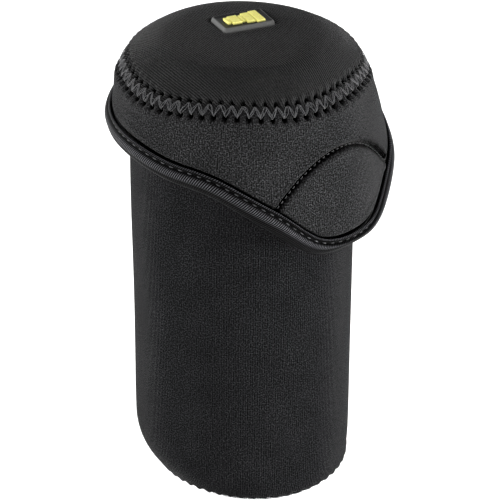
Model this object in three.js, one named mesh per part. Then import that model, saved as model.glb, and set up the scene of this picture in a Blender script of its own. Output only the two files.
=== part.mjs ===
import * as THREE from 'three';
import { mergeVertices } from 'three/addons/utils/BufferGeometryUtils.js';

// A soft round pouch with a deep fold-back lid. The axis is Z, the base stands on z = 0, the pull tab
// points along -Y and the hinge is at +Y. Lengths are in millimetres and angles in degrees. An azimuth is
// measured round the axis from the tab.

// Neoprene walls
const wall = 5;
const pinchedWall = 3.4;
const touchGap = 0.3;
const seamGap = 0.3;

// Body
const bodyRadius = 52;
const mouthHeight = 203;
const mouthDraw = 0.4;
const cornerRadius = 19.6;
const cornerSway = 10;
const cornerSwayAzimuth = 41;
const baseSeamLean = 31;

// Lid
const lidGap = 2.4;
const lidWallRadius = bodyRadius + lidGap + wall;
const lidHeadroom = 23.4;
const topHeight = mouthHeight + lidHeadroom;
const shoulderRadius = 22.4;
const shoulderHeight = topHeight - shoulderRadius;
const flatRadius = lidWallRadius - shoulderRadius;
const shoulderSlump = 2.6;
const slumpAzimuth = -42;
const lidSeamLean = 62;
const flareReachShare = 0.35;
const flareLiftShare = 0.9;
const crownShare = 0.8;

// Rim of the lid: how far it hangs and flares, as shares from the tab (first) round to the hinge (last)
const lidRearDepth = 34.7;
const rimRearHeight = topHeight - lidRearDepth;
const rimRearProud = 3.9;
const rimRearRadius = lidWallRadius + rimRearProud;
const tabDrop = 47;
const tabFlare = 7.5;
const rimLean = 22;
const dropShares = [1, 0.955, 0.585, 0.315, 0.225, 0.15, 0.1, 0.06, 0.015, 0];
const flareShares = [0.7, 0.64, 0.82, 0.47, 0.3, 0.12, 0, -0.02, 0, 0];
const leanShares = [0.05, 0.25, 0.5, 0.55, 0.4, 0.3, 0.5, 0.8, 1, 1];

// Binding tape
const tapeThickness = 0.8;
const rimBindingHeight = 9.4;
const mouthBindingHeight = 8;
const bindingProud = 0.8;
const neckLength = 2;
const pocketHalf = pinchedWall / 2 + touchGap;
const tapeHalf = pocketHalf + tapeThickness;

// Thread
const threadWidth = 0.9;
const threadHeight = 0.8;
const stitchThread = 0.5;
const zigzagPitch = 5;
const seamDip = 1.2;
const seamHalfWidth = 3.5;
const dipRunOut = 3;
const stitchInset = 2.4;
const legRun = zigzagPitch / 2;
const threadTip = (threadWidth * Math.hypot(legRun, 2 * seamHalfWidth)) / (2 * legRun);

// Half-moon patch inside the tab
const patchHalfAngle = 34;
const patchTurn = -2;
const patchTopDrop = 34.9;
const patchTopHeight = topHeight - patchTopDrop;
const patchBow = 21.8;
const patchThickness = 1.5;
const patchMargin = 1.5;
const patchGap = 0.5;

// Rear hinge tape
const hingeWidth = 44;
const hingeThickness = 0.8;
const hingeFoldDrop = 2.7;
const hingeFoldHeight = rimRearHeight - hingeFoldDrop;
const hingeFootDrop = 29;
const hingeFootHeight = hingeFoldHeight - hingeFootDrop;
const hingeBendDrop = 13;
const hingeBendHeight = hingeFoldHeight - hingeBendDrop;
const hingeBendLength = 17;
const hingeHeadLean = 82;
const hingeHeadGap = 0.7;
const hingeStitchInset = 3;
const hingeStitchHeight = 12;
const hingeRowGap = 2.6;

// Rear seam of the body
const backSeamLow = 34.5;

// Badge on the lid
const badgeLength = 26;
const badgeWidth = 17.5;
const badgeCorner = 2.4;
const badgeThickness = 3;
const badgeChamfer = 0.7;
const badgeX = 9.3;
const badgeY = 8.9;
const badgeTurn = -22.7;
const motifThickness = 0.7;
const motifLength = 17.6;
const motifHeight = 11.6;

// Counts of faces, and the distance under which two points are one
const turnSteps = 64;
const rimSteps = 72;
const hingeSteps = 8;
const cornerSteps = 3;
const roundSteps = 4;
const skirtSteps = 4;
const liningSteps = 2;
const patchColumns = 14;
const patchRows = 3;
const arcSteps = 22;
const samePlace = 1e-4;

const radians = THREE.MathUtils.degToRad;
const fullTurn = 2 * Math.PI;
const rear = Math.PI;

function materialOf(colour, roughness) {
  return new THREE.MeshStandardMaterial({ color: colour, roughness, metalness: 0 });
}

const neoprene = () => materialOf('#2b2b2c', 0.85);
const tape = () => materialOf('#1f1f20', 0.7);
const thread = () => materialOf('#3a3a3c', 0.6);

// Point at a radius and height on the plane through the axis at an azimuth
function around(azimuth, point) {
  return new THREE.Vector3(point.x * Math.sin(azimuth), -point.x * Math.cos(azimuth), point.y);
}

// Evenly spaced angles, both ends included
function spread(from, to, steps) {
  return Array.from({ length: steps + 1 }, (_, i) => from + ((to - from) * i) / steps);
}

// Smooth reading of a share table, mirrored at the tab and at the hinge
function shareAt(shares, azimuth) {
  const place = (Math.abs(Math.atan2(Math.sin(azimuth), Math.cos(azimuth))) / Math.PI) * (shares.length - 1);
  const i = Math.min(Math.floor(place), shares.length - 2);
  const t = place - i;
  const a = shares[Math.abs(i - 1)];
  const b = shares[i];
  const c = shares[i + 1];
  const d = shares[Math.min(i + 2, 2 * (shares.length - 1) - i - 2)];
  return b + (t * (c - a + t * (2 * a - 5 * b + 4 * c - d + t * (3 * (b - c) + d - a)))) / 2;
}

// Closed body from a row of loops with the same number of points, joined end to end or capped
function sweptBody(loops, joined) {
  const count = loops[0].length;
  const points = loops.flat();
  const faces = [];
  const addFace = (a, b, c) => {
    const [p, q, r] = [points[a], points[b], points[c]];
    if (Math.min(p.distanceTo(q), q.distanceTo(r), r.distanceTo(p)) > samePlace) faces.push([a, b, c]);
  };
  const spans = joined ? loops.length : loops.length - 1;
  for (let i = 0; i < spans; i += 1) {
    const here = i * count;
    const next = ((i + 1) % loops.length) * count;
    for (let j = 0; j < count; j += 1) {
      const k = (j + 1) % count;
      addFace(here + j, next + j, next + k);
      addFace(here + j, next + k, here + k);
    }
  }
  if (!joined) {
    capLoop(loops[0], 0, true, faces);
    capLoop(loops.at(-1), points.length - count, false, faces);
  }
  return solidGeometry(points, faces);
}

// Flat cap on an end loop, wound along the loop or against it
function capLoop(loop, first, alongLoop, faces) {
  const normal = new THREE.Vector3();
  loop.forEach((p, i) => normal.add(new THREE.Vector3().crossVectors(p, loop[(i + 1) % loop.length])));
  const flatten = new THREE.Quaternion().setFromUnitVectors(normal.normalize(), new THREE.Vector3(0, 0, 1));
  const outline = loop.map((p) => p.clone().applyQuaternion(flatten)).map((p) => new THREE.Vector2(p.x, p.y));
  for (const [a, b, c] of THREE.ShapeUtils.triangulateShape(outline, [])) {
    const turn = outline[b].clone().sub(outline[a]).cross(outline[c].clone().sub(outline[a]));
    const forward = turn > 0 === alongLoop;
    faces.push(forward ? [first + a, first + b, first + c] : [first + a, first + c, first + b]);
  }
}

// Indexed geometry with its faces pointing out
function solidGeometry(points, faces) {
  let volume = 0;
  for (const [a, b, c] of faces) {
    volume += points[a].dot(new THREE.Vector3().crossVectors(points[b], points[c]));
  }
  const wound = volume > 0 ? faces : faces.map(([a, b, c]) => [a, c, b]);
  const geometry = new THREE.BufferGeometry();
  geometry.setAttribute('position', new THREE.Float32BufferAttribute(points.flatMap((p) => p.toArray()), 3));
  geometry.setIndex(wound.flat());
  return mergeVertices(geometry);
}

// Ring or panel: a profile of radius and height points, worked out for each azimuth
function roundBody(profileAt, azimuths, joined) {
  return sweptBody(azimuths.map((azimuth) => profileAt(azimuth).map((p) => around(azimuth, p))), joined);
}

// Azimuths of a full turn that starts and ends at the rear, without the repeated last one
function wholeTurn(steps) {
  return spread(rear, rear + fullTurn, steps).slice(0, -1);
}

// Thread along a path of points, each with the normal of the cloth there, mitred at its corners
function threadBody(path, width, height, joined) {
  const loops = path.map(({ point, normal }, i) => {
    const before = path[joined ? (i + path.length - 1) % path.length : Math.max(i - 1, 0)].point;
    const after = path[joined ? (i + 1) % path.length : Math.min(i + 1, path.length - 1)].point;
    const incoming = point.clone().sub(before);
    const outgoing = after.clone().sub(point);
    const along = incoming.clone().normalize().add(outgoing.clone().normalize());
    const halfTurn = incoming.lengthSq() && outgoing.lengthSq() ? along.length() / 2 : 1;
    const side = new THREE.Vector3().crossVectors(normal, along).normalize();
    const rise = normal.clone().multiplyScalar(height / 2);
    side.multiplyScalar(width / 2 / halfTurn);
    return [rise, side, rise.clone().negate(), side.clone().negate()].map((offset) => offset.add(point));
  });
  return sweptBody(loops, joined);
}

// Zigzag over a seam: rowAt gives point and normal on the upper (0) or lower (1) row of holes
function zigzagBody(rowAt, azimuths, joined) {
  return threadBody(azimuths.map((azimuth, i) => rowAt(azimuth, i % 2)), threadWidth, threadHeight, joined);
}

// Point and normal for a thread that lies on the straight line between two profile points
function bandPoint(azimuth, upper, lower, row) {
  const slope = lower.clone().sub(upper).normalize();
  const normal = new THREE.Vector2(-slope.y, slope.x);
  const at = (row ? lower : upper).clone().addScaledVector(slope, row ? -threadTip : threadTip);
  at.addScaledVector(normal, touchGap + threadHeight / 2);
  return { point: around(azimuth, at), normal: around(azimuth, normal) };
}

function point2(radius, height) {
  return new THREE.Vector2(radius, height);
}

// Base corner: its radius sways round the body, because the soft bottom sits unevenly
function cornerAt(azimuth) {
  return cornerRadius - cornerSway * Math.cos(azimuth - radians(cornerSwayAzimuth));
}

// Point on the base corner, at an arc length from the flat bottom and an inset from the outside
function cornerPoint(azimuth, arc, inset) {
  const corner = cornerAt(azimuth);
  const turn = arc / corner;
  const reach = corner - inset;
  return point2(bodyRadius - corner + reach * Math.sin(turn), corner - reach * Math.cos(turn));
}

// Arc length from the flat bottom to the base seam
function baseSeamArc(azimuth) {
  return radians(baseSeamLean) * cornerAt(azimuth);
}

function baseSeamRow(azimuth, row) {
  const arc = baseSeamArc(azimuth) + (row ? -seamHalfWidth : seamHalfWidth);
  return cornerPoint(azimuth, arc, seamDip);
}

// Edge of a panel at a butt seam, on the straight band between the two rows of holes
function bandEdge(upper, lower, side) {
  const middle = upper.clone().add(lower).divideScalar(2);
  return middle.addScaledVector(upper.clone().sub(lower).normalize(), (side * seamGap) / 2);
}

function baseDiscProfile(azimuth) {
  const corner = cornerAt(azimuth);
  const upper = baseSeamRow(azimuth, 0);
  const lower = baseSeamRow(azimuth, 1);
  return [
    point2(0, 0),
    point2(bodyRadius - corner, 0),
    lower,
    bandEdge(upper, lower, -1),
    cornerPoint(azimuth, baseSeamArc(azimuth) - seamGap, wall),
    point2(bodyRadius - corner, wall),
    point2(0, wall),
  ];
}

const mouthMiddle = bodyRadius - wall / 2 - mouthDraw;

// Body panel: rounded in at the bottom, pinched in the binding at the mouth
function bodyPanelProfile(azimuth) {
  const upper = baseSeamRow(azimuth, 0);
  const lower = baseSeamRow(azimuth, 1);
  const cornerEnd = (cornerAt(azimuth) * Math.PI) / 2;
  const seamArc = baseSeamArc(azimuth);
  const outerArcs = spread(seamArc + seamHalfWidth + dipRunOut, cornerEnd, cornerSteps);
  const innerArcs = spread(cornerEnd, seamArc + seamGap, cornerSteps);
  const middle = mouthMiddle;
  const bindingFoot = mouthHeight - mouthBindingHeight;
  const edge = mouthHeight - tapeHalf - touchGap;
  return [
    bandEdge(upper, lower, 1),
    upper,
    ...outerArcs.map((arc) => cornerPoint(azimuth, arc, 0)),
    point2(bodyRadius, bindingFoot - neckLength),
    point2(middle + pinchedWall / 2, bindingFoot),
    point2(middle + pinchedWall / 2, edge),
    point2(middle - pinchedWall / 2, edge),
    point2(middle - pinchedWall / 2, bindingFoot),
    point2(bodyRadius - wall, bindingFoot - neckLength),
    ...innerArcs.map((arc) => cornerPoint(azimuth, arc, wall)),
  ];
}

// Folded tape over an edge. The frame's origin is the middle of the wall where the tape begins, and its
// run points to the edge
function bindingProfile(origin, run, height) {
  const normal = point2(-run.y, run.x);
  const at = (across, along) => origin.clone().addScaledVector(normal, across).addScaledVector(run, along);
  const pocket = height - tapeHalf;
  const fold = spread(0, Math.PI, roundSteps).map((turn) =>
    at(tapeHalf * Math.cos(turn), pocket + tapeHalf * Math.sin(turn)));
  return [at(tapeHalf, 0), ...fold, at(-tapeHalf, 0), at(-pocketHalf, 0), at(-pocketHalf, pocket),
    at(pocketHalf, pocket), at(pocketHalf, 0)];
}

function mouthBindingProfile() {
  const origin = point2(mouthMiddle, mouthHeight - mouthBindingHeight);
  return bindingProfile(origin, point2(0, 1), mouthBindingHeight).reverse();
}

function stitchPoint(azimuth, origin, run) {
  const outward = point2(run.y, -run.x).multiplyScalar(run.y > 0 ? 1 : -1);
  const across = tapeHalf + touchGap + stitchThread / 2;
  const at = origin.clone().addScaledVector(outward, across).addScaledVector(run, stitchInset);
  return { point: around(azimuth, at), normal: around(azimuth, outward) };
}

// Lid shoulder: lean is the angle from the flat top (0) down to the wall (a quarter turn)
function shoulderPoint(azimuth, lean, inset) {
  const slump = (shoulderSlump * (1 + Math.cos(azimuth - radians(slumpAzimuth)))) / 2;
  const reach = shoulderRadius - inset - slump * Math.sin(2 * lean);
  return point2(flatRadius + reach * Math.sin(lean), shoulderHeight + reach * Math.cos(lean));
}

const lidSeamHalfLean = seamHalfWidth / shoulderRadius;

function lidSeamRow(azimuth, row) {
  const lean = radians(lidSeamLean) + (row ? lidSeamHalfLean : -lidSeamHalfLean);
  return shoulderPoint(azimuth, lean, seamDip);
}

// Lowest outer edge of the bound rim, and the lean of the binding there
function rimPoint(azimuth) {
  const radius = rimRearRadius + tabFlare * shareAt(flareShares, azimuth);
  return point2(radius, rimRearHeight - tabDrop * shareAt(dropShares, azimuth));
}

function rimRun(azimuth) {
  const lean = radians(rimLean) * shareAt(leanShares, azimuth);
  return point2(Math.sin(lean), -Math.cos(lean));
}

// Outer face of the lid wall where the binding begins
function groovePoint(azimuth) {
  return rimPoint(azimuth).addScaledVector(rimRun(azimuth), -rimBindingHeight);
}

// Where the shoulder turns into the wall: higher where the rim flares
function wallStartLean(azimuth) {
  const rowLean = radians(lidSeamLean) + lidSeamHalfLean;
  const flare = Math.min(shareAt(flareShares, azimuth), 1);
  return rowLean + (rear / 2 - rowLean) * (1 - flareLiftShare * flare);
}

// Outer face of the lid wall: share runs from the shoulder (0) to the neck above the binding (1)
function wallPoint(azimuth, share, inset, end) {
  const start = shoulderPoint(azimuth, wallStartLean(azimuth), 0);
  const ease = share * (1 + flareReachShare * (1 - share));
  return point2(start.x + (end.x - start.x) * ease - inset, start.y + (end.y - start.y) * share);
}

function neckPoint(azimuth) {
  return groovePoint(azimuth).addScaledVector(rimRun(azimuth), -neckLength);
}

// Middle of the pinched wall where the rim binding begins
function rimOrigin(azimuth) {
  const run = rimRun(azimuth);
  return groovePoint(azimuth).addScaledVector(point2(-run.y, run.x), bindingProud - tapeHalf);
}

// Lid skirt profile, from the top seam down the outside, round the lower edge and up the inside
function lidSkirtProfile(azimuth) {
  const rowLean = radians(lidSeamLean) + lidSeamHalfLean;
  const startLean = wallStartLean(azimuth);
  const foot = neckPoint(azimuth);
  return [
    bandEdge(lidSeamRow(azimuth, 0), lidSeamRow(azimuth, 1), -1),
    lidSeamRow(azimuth, 1),
    shoulderPoint(azimuth, (rowLean + startLean) / 2, 0),
    ...spread(0, 1, skirtSteps).map((share) => wallPoint(azimuth, share, 0, foot)),
    ...pinchedEdge(azimuth),
    ...spread(1, 0, liningSteps).map((share) => wallPoint(azimuth, share, wall, foot)),
    shoulderPoint(azimuth, rowLean, wall),
    shoulderPoint(azimuth, radians(lidSeamLean) + seamGap / shoulderRadius, wall),
  ];
}

// Lower edge of the skirt inside the rim binding
function pinchedEdge(azimuth) {
  const run = rimRun(azimuth);
  const across = point2(-run.y, run.x).multiplyScalar(pinchedWall / 2);
  const top = rimOrigin(azimuth);
  const end = top.clone().addScaledVector(run, rimBindingHeight - tapeHalf - touchGap);
  return [top.clone().add(across), end.clone().add(across), end.sub(across), top.sub(across)];
}

function lidTopProfile(azimuth) {
  const upper = lidSeamRow(azimuth, 0);
  const lower = lidSeamRow(azimuth, 1);
  const rowLean = radians(lidSeamLean) - lidSeamHalfLean;
  return [
    point2(0, topHeight),
    ...spread(0, rowLean * crownShare, cornerSteps).map((lean) => shoulderPoint(azimuth, lean, 0)),
    upper,
    bandEdge(upper, lower, 1),
    shoulderPoint(azimuth, radians(lidSeamLean) - seamGap / shoulderRadius, wall),
    shoulderPoint(azimuth, rowLean / 2, wall),
    shoulderPoint(azimuth, 0, wall),
    point2(0, topHeight - wall),
  ];
}

// Outer face of the skirt at a height, for what is sewn on it
function skirtFace(azimuth, height, inset) {
  const end = neckPoint(azimuth);
  const start = shoulderPoint(azimuth, wallStartLean(azimuth), 0);
  return wallPoint(azimuth, (start.y - height) / (start.y - end.y), inset, end);
}

// Height of the half-moon's arc, at a share of its half angle from its middle
function patchArc(share) {
  return patchTopHeight - patchBow * share * share;
}

function patchAzimuth(share) {
  return radians(patchTurn + patchHalfAngle * share);
}

// Patch inside the tab, from the rim binding up to just past the arc
function tabPatchProfile(share) {
  const azimuth = patchAzimuth(share);
  const low = neckPoint(azimuth).y;
  const high = Math.max(patchArc(share), low) + patchMargin;
  const outer = spread(low, high, patchRows).map((height) => skirtFace(azimuth, height, wall + patchGap));
  const inner = outer.map((p) => point2(p.x - patchThickness, p.y)).reverse();
  return [...outer, ...inner].map((p) => around(azimuth, p));
}

function patchStitchPath() {
  const lift = touchGap + stitchThread / 2;
  return spread(-1, 1, arcSteps).map((share) => {
    const azimuth = patchAzimuth(share);
    const height = Math.max(patchArc(share), neckPoint(azimuth).y);
    const at = skirtFace(azimuth, height, -lift);
    return { point: around(azimuth, at), normal: around(azimuth, point2(1, 0)) };
  });
}

// Outer face of the hinge tape: on the body below, on the inside of the lid wall above
function hingeFace(height) {
  const onBody = bodyRadius + touchGap + hingeThickness;
  const onLid = lidWallRadius - wall - hingeHeadGap;
  const rise = THREE.MathUtils.clamp((height - hingeBendHeight) / hingeBendLength, 0, 1);
  return point2(onBody + (onLid - onBody) * rise, height);
}

const hingeSide = hingeWidth / 2 / bodyRadius;
const hingeAzimuths = spread(rear - hingeSide, rear + hingeSide, hingeSteps);

function hingeTape(faceAt) {
  const profile = (azimuth) => {
    const outer = faceAt(azimuth);
    return [...outer, ...outer.map((p) => point2(p.x - hingeThickness, p.y)).reverse()];
  };
  return roundBody(profile, hingeAzimuths, false);
}

// Stitches round a rectangle, along the lower and the upper row of the face that they lie on
function stitchLoop(lowFaceAt, highFaceAt) {
  const side = hingeSide - hingeStitchInset / bodyRadius;
  const across = spread(rear - side, rear + side, hingeSteps);
  const at = (azimuth, face) => ({
    point: around(azimuth, point2(face.x + touchGap + stitchThread / 2, face.y)),
    normal: around(azimuth, point2(1, 0)),
  });
  return [
    ...across.map((azimuth) => at(azimuth, lowFaceAt(azimuth))),
    ...across.reverse().map((azimuth) => at(azimuth, highFaceAt(azimuth))),
  ];
}

// Zigzag up the rear of the body, over the butt seam of the wrapped panel
function backSeamPath() {
  const high = hingeFootHeight - seamHalfWidth;
  const count = Math.round((high - backSeamLow) / legRun);
  const radius = bodyRadius + touchGap + threadHeight / 2;
  const half = (seamHalfWidth - threadTip) / bodyRadius;
  return spread(backSeamLow, high, count).map((height, i) => {
    const azimuth = rear + (i % 2 ? half : -half);
    return { point: around(azimuth, point2(radius, height)), normal: around(azimuth, point2(1, 0)) };
  });
}

function zigzagAzimuths(radius) {
  return wholeTurn(2 * Math.round((fullTurn * radius) / zigzagPitch));
}

// Rectangle with round corners, centred on the origin
function roundedRectangle(length, width, corner) {
  const shape = new THREE.Shape();
  const x = length / 2 - corner;
  const y = width / 2 - corner;
  shape.absarc(x, y, corner, 0, rear / 2);
  shape.absarc(-x, y, corner, rear / 2, rear);
  shape.absarc(-x, -y, corner, rear, 1.5 * rear);
  shape.absarc(x, -y, corner, 1.5 * rear, 2 * rear);
  return shape;
}

function badgeBody() {
  const inner = roundedRectangle(badgeLength - 2 * badgeChamfer, badgeWidth - 2 * badgeChamfer,
    badgeCorner - badgeChamfer);
  return new THREE.ExtrudeGeometry(inner, {
    depth: badgeThickness - 2 * badgeChamfer,
    bevelSize: badgeChamfer,
    bevelThickness: badgeChamfer,
    bevelSegments: 1,
    curveSegments: cornerSteps,
  }).translate(0, 0, badgeChamfer);
}

// Plain side view of a lens barrel: half heights along its length, as shares
const barrelShares = [[0, 0.52], [0.12, 0.52], [0.12, 0.7], [0.42, 0.7], [0.42, 0.58], [0.5, 0.58],
  [0.5, 0.84], [0.76, 0.84], [0.76, 1], [1, 1]];

function motifBody() {
  const upper = barrelShares.map(([along, half]) =>
    point2((along - 0.5) * motifLength, (half * motifHeight) / 2));
  const lower = upper.map((p) => point2(p.x, -p.y)).reverse();
  const shape = new THREE.Shape([...upper, ...lower]);
  return new THREE.ExtrudeGeometry(shape, { depth: motifThickness, bevelEnabled: false });
}

// Node list, in the order in which the pouch is sewn
const pouch = new THREE.Group();

function addPiece(name, geometry, material) {
  const piece = new THREE.Mesh(geometry, material);
  piece.name = name;
  pouch.add(piece);
  return piece;
}

const turn = wholeTurn(turnSteps);
const rimTurn = wholeTurn(rimSteps);
const slit = seamGap / 2 / bodyRadius;
const wrap = spread(rear + slit, rear + fullTurn - slit, turnSteps);
const seamRow = (rowAt) => (azimuth, row) => bandPoint(azimuth, rowAt(azimuth, 0), rowAt(azimuth, 1), row);
const baseSeamReach = cornerRadius * Math.sin(radians(baseSeamLean));
const baseSeamAzimuths = zigzagAzimuths(bodyRadius - cornerRadius + baseSeamReach);
const mouthFoot = point2(mouthMiddle, mouthHeight - mouthBindingHeight);
const mouthStitches = turn.map((azimuth) => stitchPoint(azimuth, mouthFoot, point2(0, 1)));
addPiece('base_disc', roundBody(baseDiscProfile, turn, true), neoprene());
addPiece('body_panel', roundBody(bodyPanelProfile, wrap, false), neoprene());
addPiece('base_seam_thread', zigzagBody(seamRow(baseSeamRow), baseSeamAzimuths, true), thread());
addPiece('back_seam_thread', threadBody(backSeamPath(), threadWidth, threadHeight, false), thread());
addPiece('mouth_binding', roundBody(mouthBindingProfile, turn, true), tape());
addPiece('mouth_binding_stitch', threadBody(mouthStitches, stitchThread, stitchThread, true), thread());

const lidSeamAzimuths = zigzagAzimuths(lidWallRadius - wall);
const rimProfile = (azimuth) => bindingProfile(rimOrigin(azimuth), rimRun(azimuth), rimBindingHeight);
const rimStitches = rimTurn.map((azimuth) => stitchPoint(azimuth, rimOrigin(azimuth), rimRun(azimuth)));
const patchSections = spread(-1, 1, patchColumns).map(tabPatchProfile);
addPiece('lid_top_disc', roundBody(lidTopProfile, turn, true), neoprene());
addPiece('lid_skirt', roundBody(lidSkirtProfile, rimTurn, true), neoprene());
addPiece('lid_seam_thread', zigzagBody(seamRow(lidSeamRow), lidSeamAzimuths, true), thread());
addPiece('rim_binding', roundBody(rimProfile, rimTurn, true), tape());
addPiece('rim_binding_stitch', threadBody(rimStitches, stitchThread, stitchThread, true), thread());
addPiece('tab_patch', sweptBody(patchSections, false), tape());
addPiece('tab_patch_stitch', threadBody(patchStitchPath(), stitchThread, stitchThread, false), thread());

const fold = seamGap / 2;
const hingeTop = hingeBendHeight + hingeBendLength;
const lowerTapeFace = () => [hingeFootHeight, hingeBendHeight, hingeFoldHeight - fold].map(hingeFace);
const upperTapeFace = (azimuth) => [
  ...[hingeFoldHeight + fold, hingeTop, shoulderHeight].map(hingeFace),
  shoulderPoint(azimuth, radians(hingeHeadLean), wall + hingeHeadGap),
];
const bodyStitchLow = hingeFace(hingeFootHeight + hingeStitchInset);
const bodyStitchHigh = point2(bodyStitchLow.x, bodyStitchLow.y + hingeStitchHeight);
const lidStitchLow = (azimuth) => skirtFace(azimuth, shoulderHeight - hingeRowGap, 0);
const lidStitchHigh = (azimuth) => skirtFace(azimuth, shoulderHeight, 0);
const bodyStitches = stitchLoop(() => bodyStitchLow, () => bodyStitchHigh);
const lidStitches = stitchLoop(lidStitchLow, lidStitchHigh);
addPiece('hinge_tape_lower', hingeTape(lowerTapeFace), tape());
addPiece('hinge_tape_upper', hingeTape(upperTapeFace), tape());
addPiece('hinge_stitch_lower', threadBody(bodyStitches, stitchThread, stitchThread, true), thread());
addPiece('hinge_stitch_upper', threadBody(lidStitches, stitchThread, stitchThread, true), thread());

const badge = new THREE.Group();
badge.position.set(badgeX, badgeY, topHeight + touchGap);
badge.rotation.z = radians(badgeTurn);
pouch.add(badge);
const badgeBase = addPiece('badge_base', badgeBody(), materialOf('#232325', 0.55));
const badgeMotif = addPiece('badge_motif', motifBody(), materialOf('#e6d21c', 0.5));
badgeMotif.position.z = badgeThickness + touchGap;
badge.add(badgeBase, badgeMotif);

export default pouch;
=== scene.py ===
import bmesh
import bpy
import numpy as np
from mathutils import Matrix, Vector


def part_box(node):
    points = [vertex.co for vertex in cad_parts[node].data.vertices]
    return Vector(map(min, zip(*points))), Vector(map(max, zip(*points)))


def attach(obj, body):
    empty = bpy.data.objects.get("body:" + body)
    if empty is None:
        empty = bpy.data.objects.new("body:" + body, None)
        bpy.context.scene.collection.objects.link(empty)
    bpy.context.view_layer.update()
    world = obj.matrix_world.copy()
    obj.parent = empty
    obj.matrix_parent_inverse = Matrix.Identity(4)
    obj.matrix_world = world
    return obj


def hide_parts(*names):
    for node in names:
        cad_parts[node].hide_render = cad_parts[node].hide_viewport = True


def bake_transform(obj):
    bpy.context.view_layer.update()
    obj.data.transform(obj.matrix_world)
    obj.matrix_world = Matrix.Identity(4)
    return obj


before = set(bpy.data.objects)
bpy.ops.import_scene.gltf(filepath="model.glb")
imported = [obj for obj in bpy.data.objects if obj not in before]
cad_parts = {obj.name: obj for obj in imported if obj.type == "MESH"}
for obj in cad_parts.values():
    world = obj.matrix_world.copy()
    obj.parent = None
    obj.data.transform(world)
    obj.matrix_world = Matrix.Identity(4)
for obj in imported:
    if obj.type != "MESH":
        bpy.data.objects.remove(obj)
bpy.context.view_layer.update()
mm = 0.001  # shapes are worked out in millimetres and stored in metres
turn = 2 * np.pi
print("frame loaded:", len(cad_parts), "nodes")


def linked(name, data):
    # A new object in the scene
    made = bpy.data.objects.new(name, data)
    bpy.context.scene.collection.objects.link(made)
    return made


# Camera of the photograph: it looks down on the front, with the pull tab to its right
photoCamera = {
    "azimuth": -47.8,  # degrees round the pouch from the tab
    "pitch": 28.51,  # degrees below the horizon
    "roll": 0.327,
    "distance": 1089,  # mm from the aim point
    "aim": (3.5, 0, 116.1),  # mm, right of the axis, behind it and up
    "focalPx": 2285.8,
    "imagePx": 500,
    "sensor": 36,
}
turned = Matrix.Rotation(np.radians(photoCamera["azimuth"]), 4, "Z")  # from the front to the camera's side


def makeCamera(values):
    data = bpy.data.cameras.new("photo camera")
    data.sensor_width = values["sensor"]
    data.lens = values["focalPx"] * values["sensor"] / values["imagePx"]
    data.clip_start, data.clip_end = 0.01, 50
    camera = linked("photo camera", data)
    pitch, roll = np.radians([values["pitch"], values["roll"]])
    look = Vector((0, np.cos(pitch), -np.sin(pitch)))
    level = Vector((1, 0, 0))
    upright = level.cross(look)
    right = level * np.cos(roll) + upright * np.sin(roll)
    up = upright * np.cos(roll) - level * np.sin(roll)
    basis = Matrix((right, up, -look)).transposed().to_4x4()
    place = (Vector(values["aim"]) - look * values["distance"]) * mm
    camera.matrix_world = turned @ Matrix.Translation(place) @ basis
    bpy.context.scene.camera = camera


makeCamera(photoCamera)
print("camera placed")


# Small tools for shapes

def boxOf(node):
    low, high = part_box(node)
    return np.array(low) / mm, np.array(high) / mm


def around(columns):
    return np.linspace(-np.pi, np.pi, columns, endpoint=False)[:, None]


def roundAbout(phi, r, z):
    # Point at radius r and height z, phi round from the tab
    return np.stack(np.broadcast_arrays(r * np.sin(phi), -r * np.cos(phi), z), -1)


def bell(x, width):
    return np.exp(-(x / width) ** 2)


def ease(x):
    # 3 x^2 - 2 x^3, held between 0 and 1
    x = np.clip(x, 0, 1)
    return x * x * (3 - 2 * x)


def unit(v):
    return v / np.linalg.norm(v, axis=-1, keepdims=True)


def shareAt(shares, phi):
    # Smooth reading of a table of shares, tab first and hinge last: a cubic, mirrored at both ends
    shares = np.array(shares, float)
    last = len(shares) - 1
    place = np.abs(np.arctan2(np.sin(phi), np.cos(phi))) / np.pi * last
    i = np.minimum(np.floor(place).astype(int), last - 1)
    t = place - i
    a, b, c, d = (shares[k] for k in (np.abs(i - 1), i, i + 1, np.minimum(i + 2, 2 * last - i - 2)))
    return b + t * (c - a + t * (2 * a - 5 * b + 4 * c - d + t * (3 * (b - c) + d - a))) / 2


def profileNormal(r, z):
    # Quarter turn of the tangent along the last axis
    dr, dz = np.gradient(r, axis=-1), np.gradient(z, axis=-1)
    size = np.hypot(dr, dz) + 1e-9
    return dz / size, -dr / size


def besideFace(face, phi, t, distance):
    # Points at a distance from a face, along its normal
    r, z = face(phi, t)
    nr, nz = profileNormal(r, z)
    return r + nr * distance, z + nz * distance


def softWaves(phi, z, height):
    # Slow uneven swell: three crossed sine waves of 2, 3 and 5 swells a turn
    slow = np.sin(2 * phi + z / 31 + 0.6) + np.sin(3 * phi - z / 23 + 2.1)
    return height * (slow + 0.6 * np.sin(5 * phi + z / 17 + 4)) / 2.6


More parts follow.
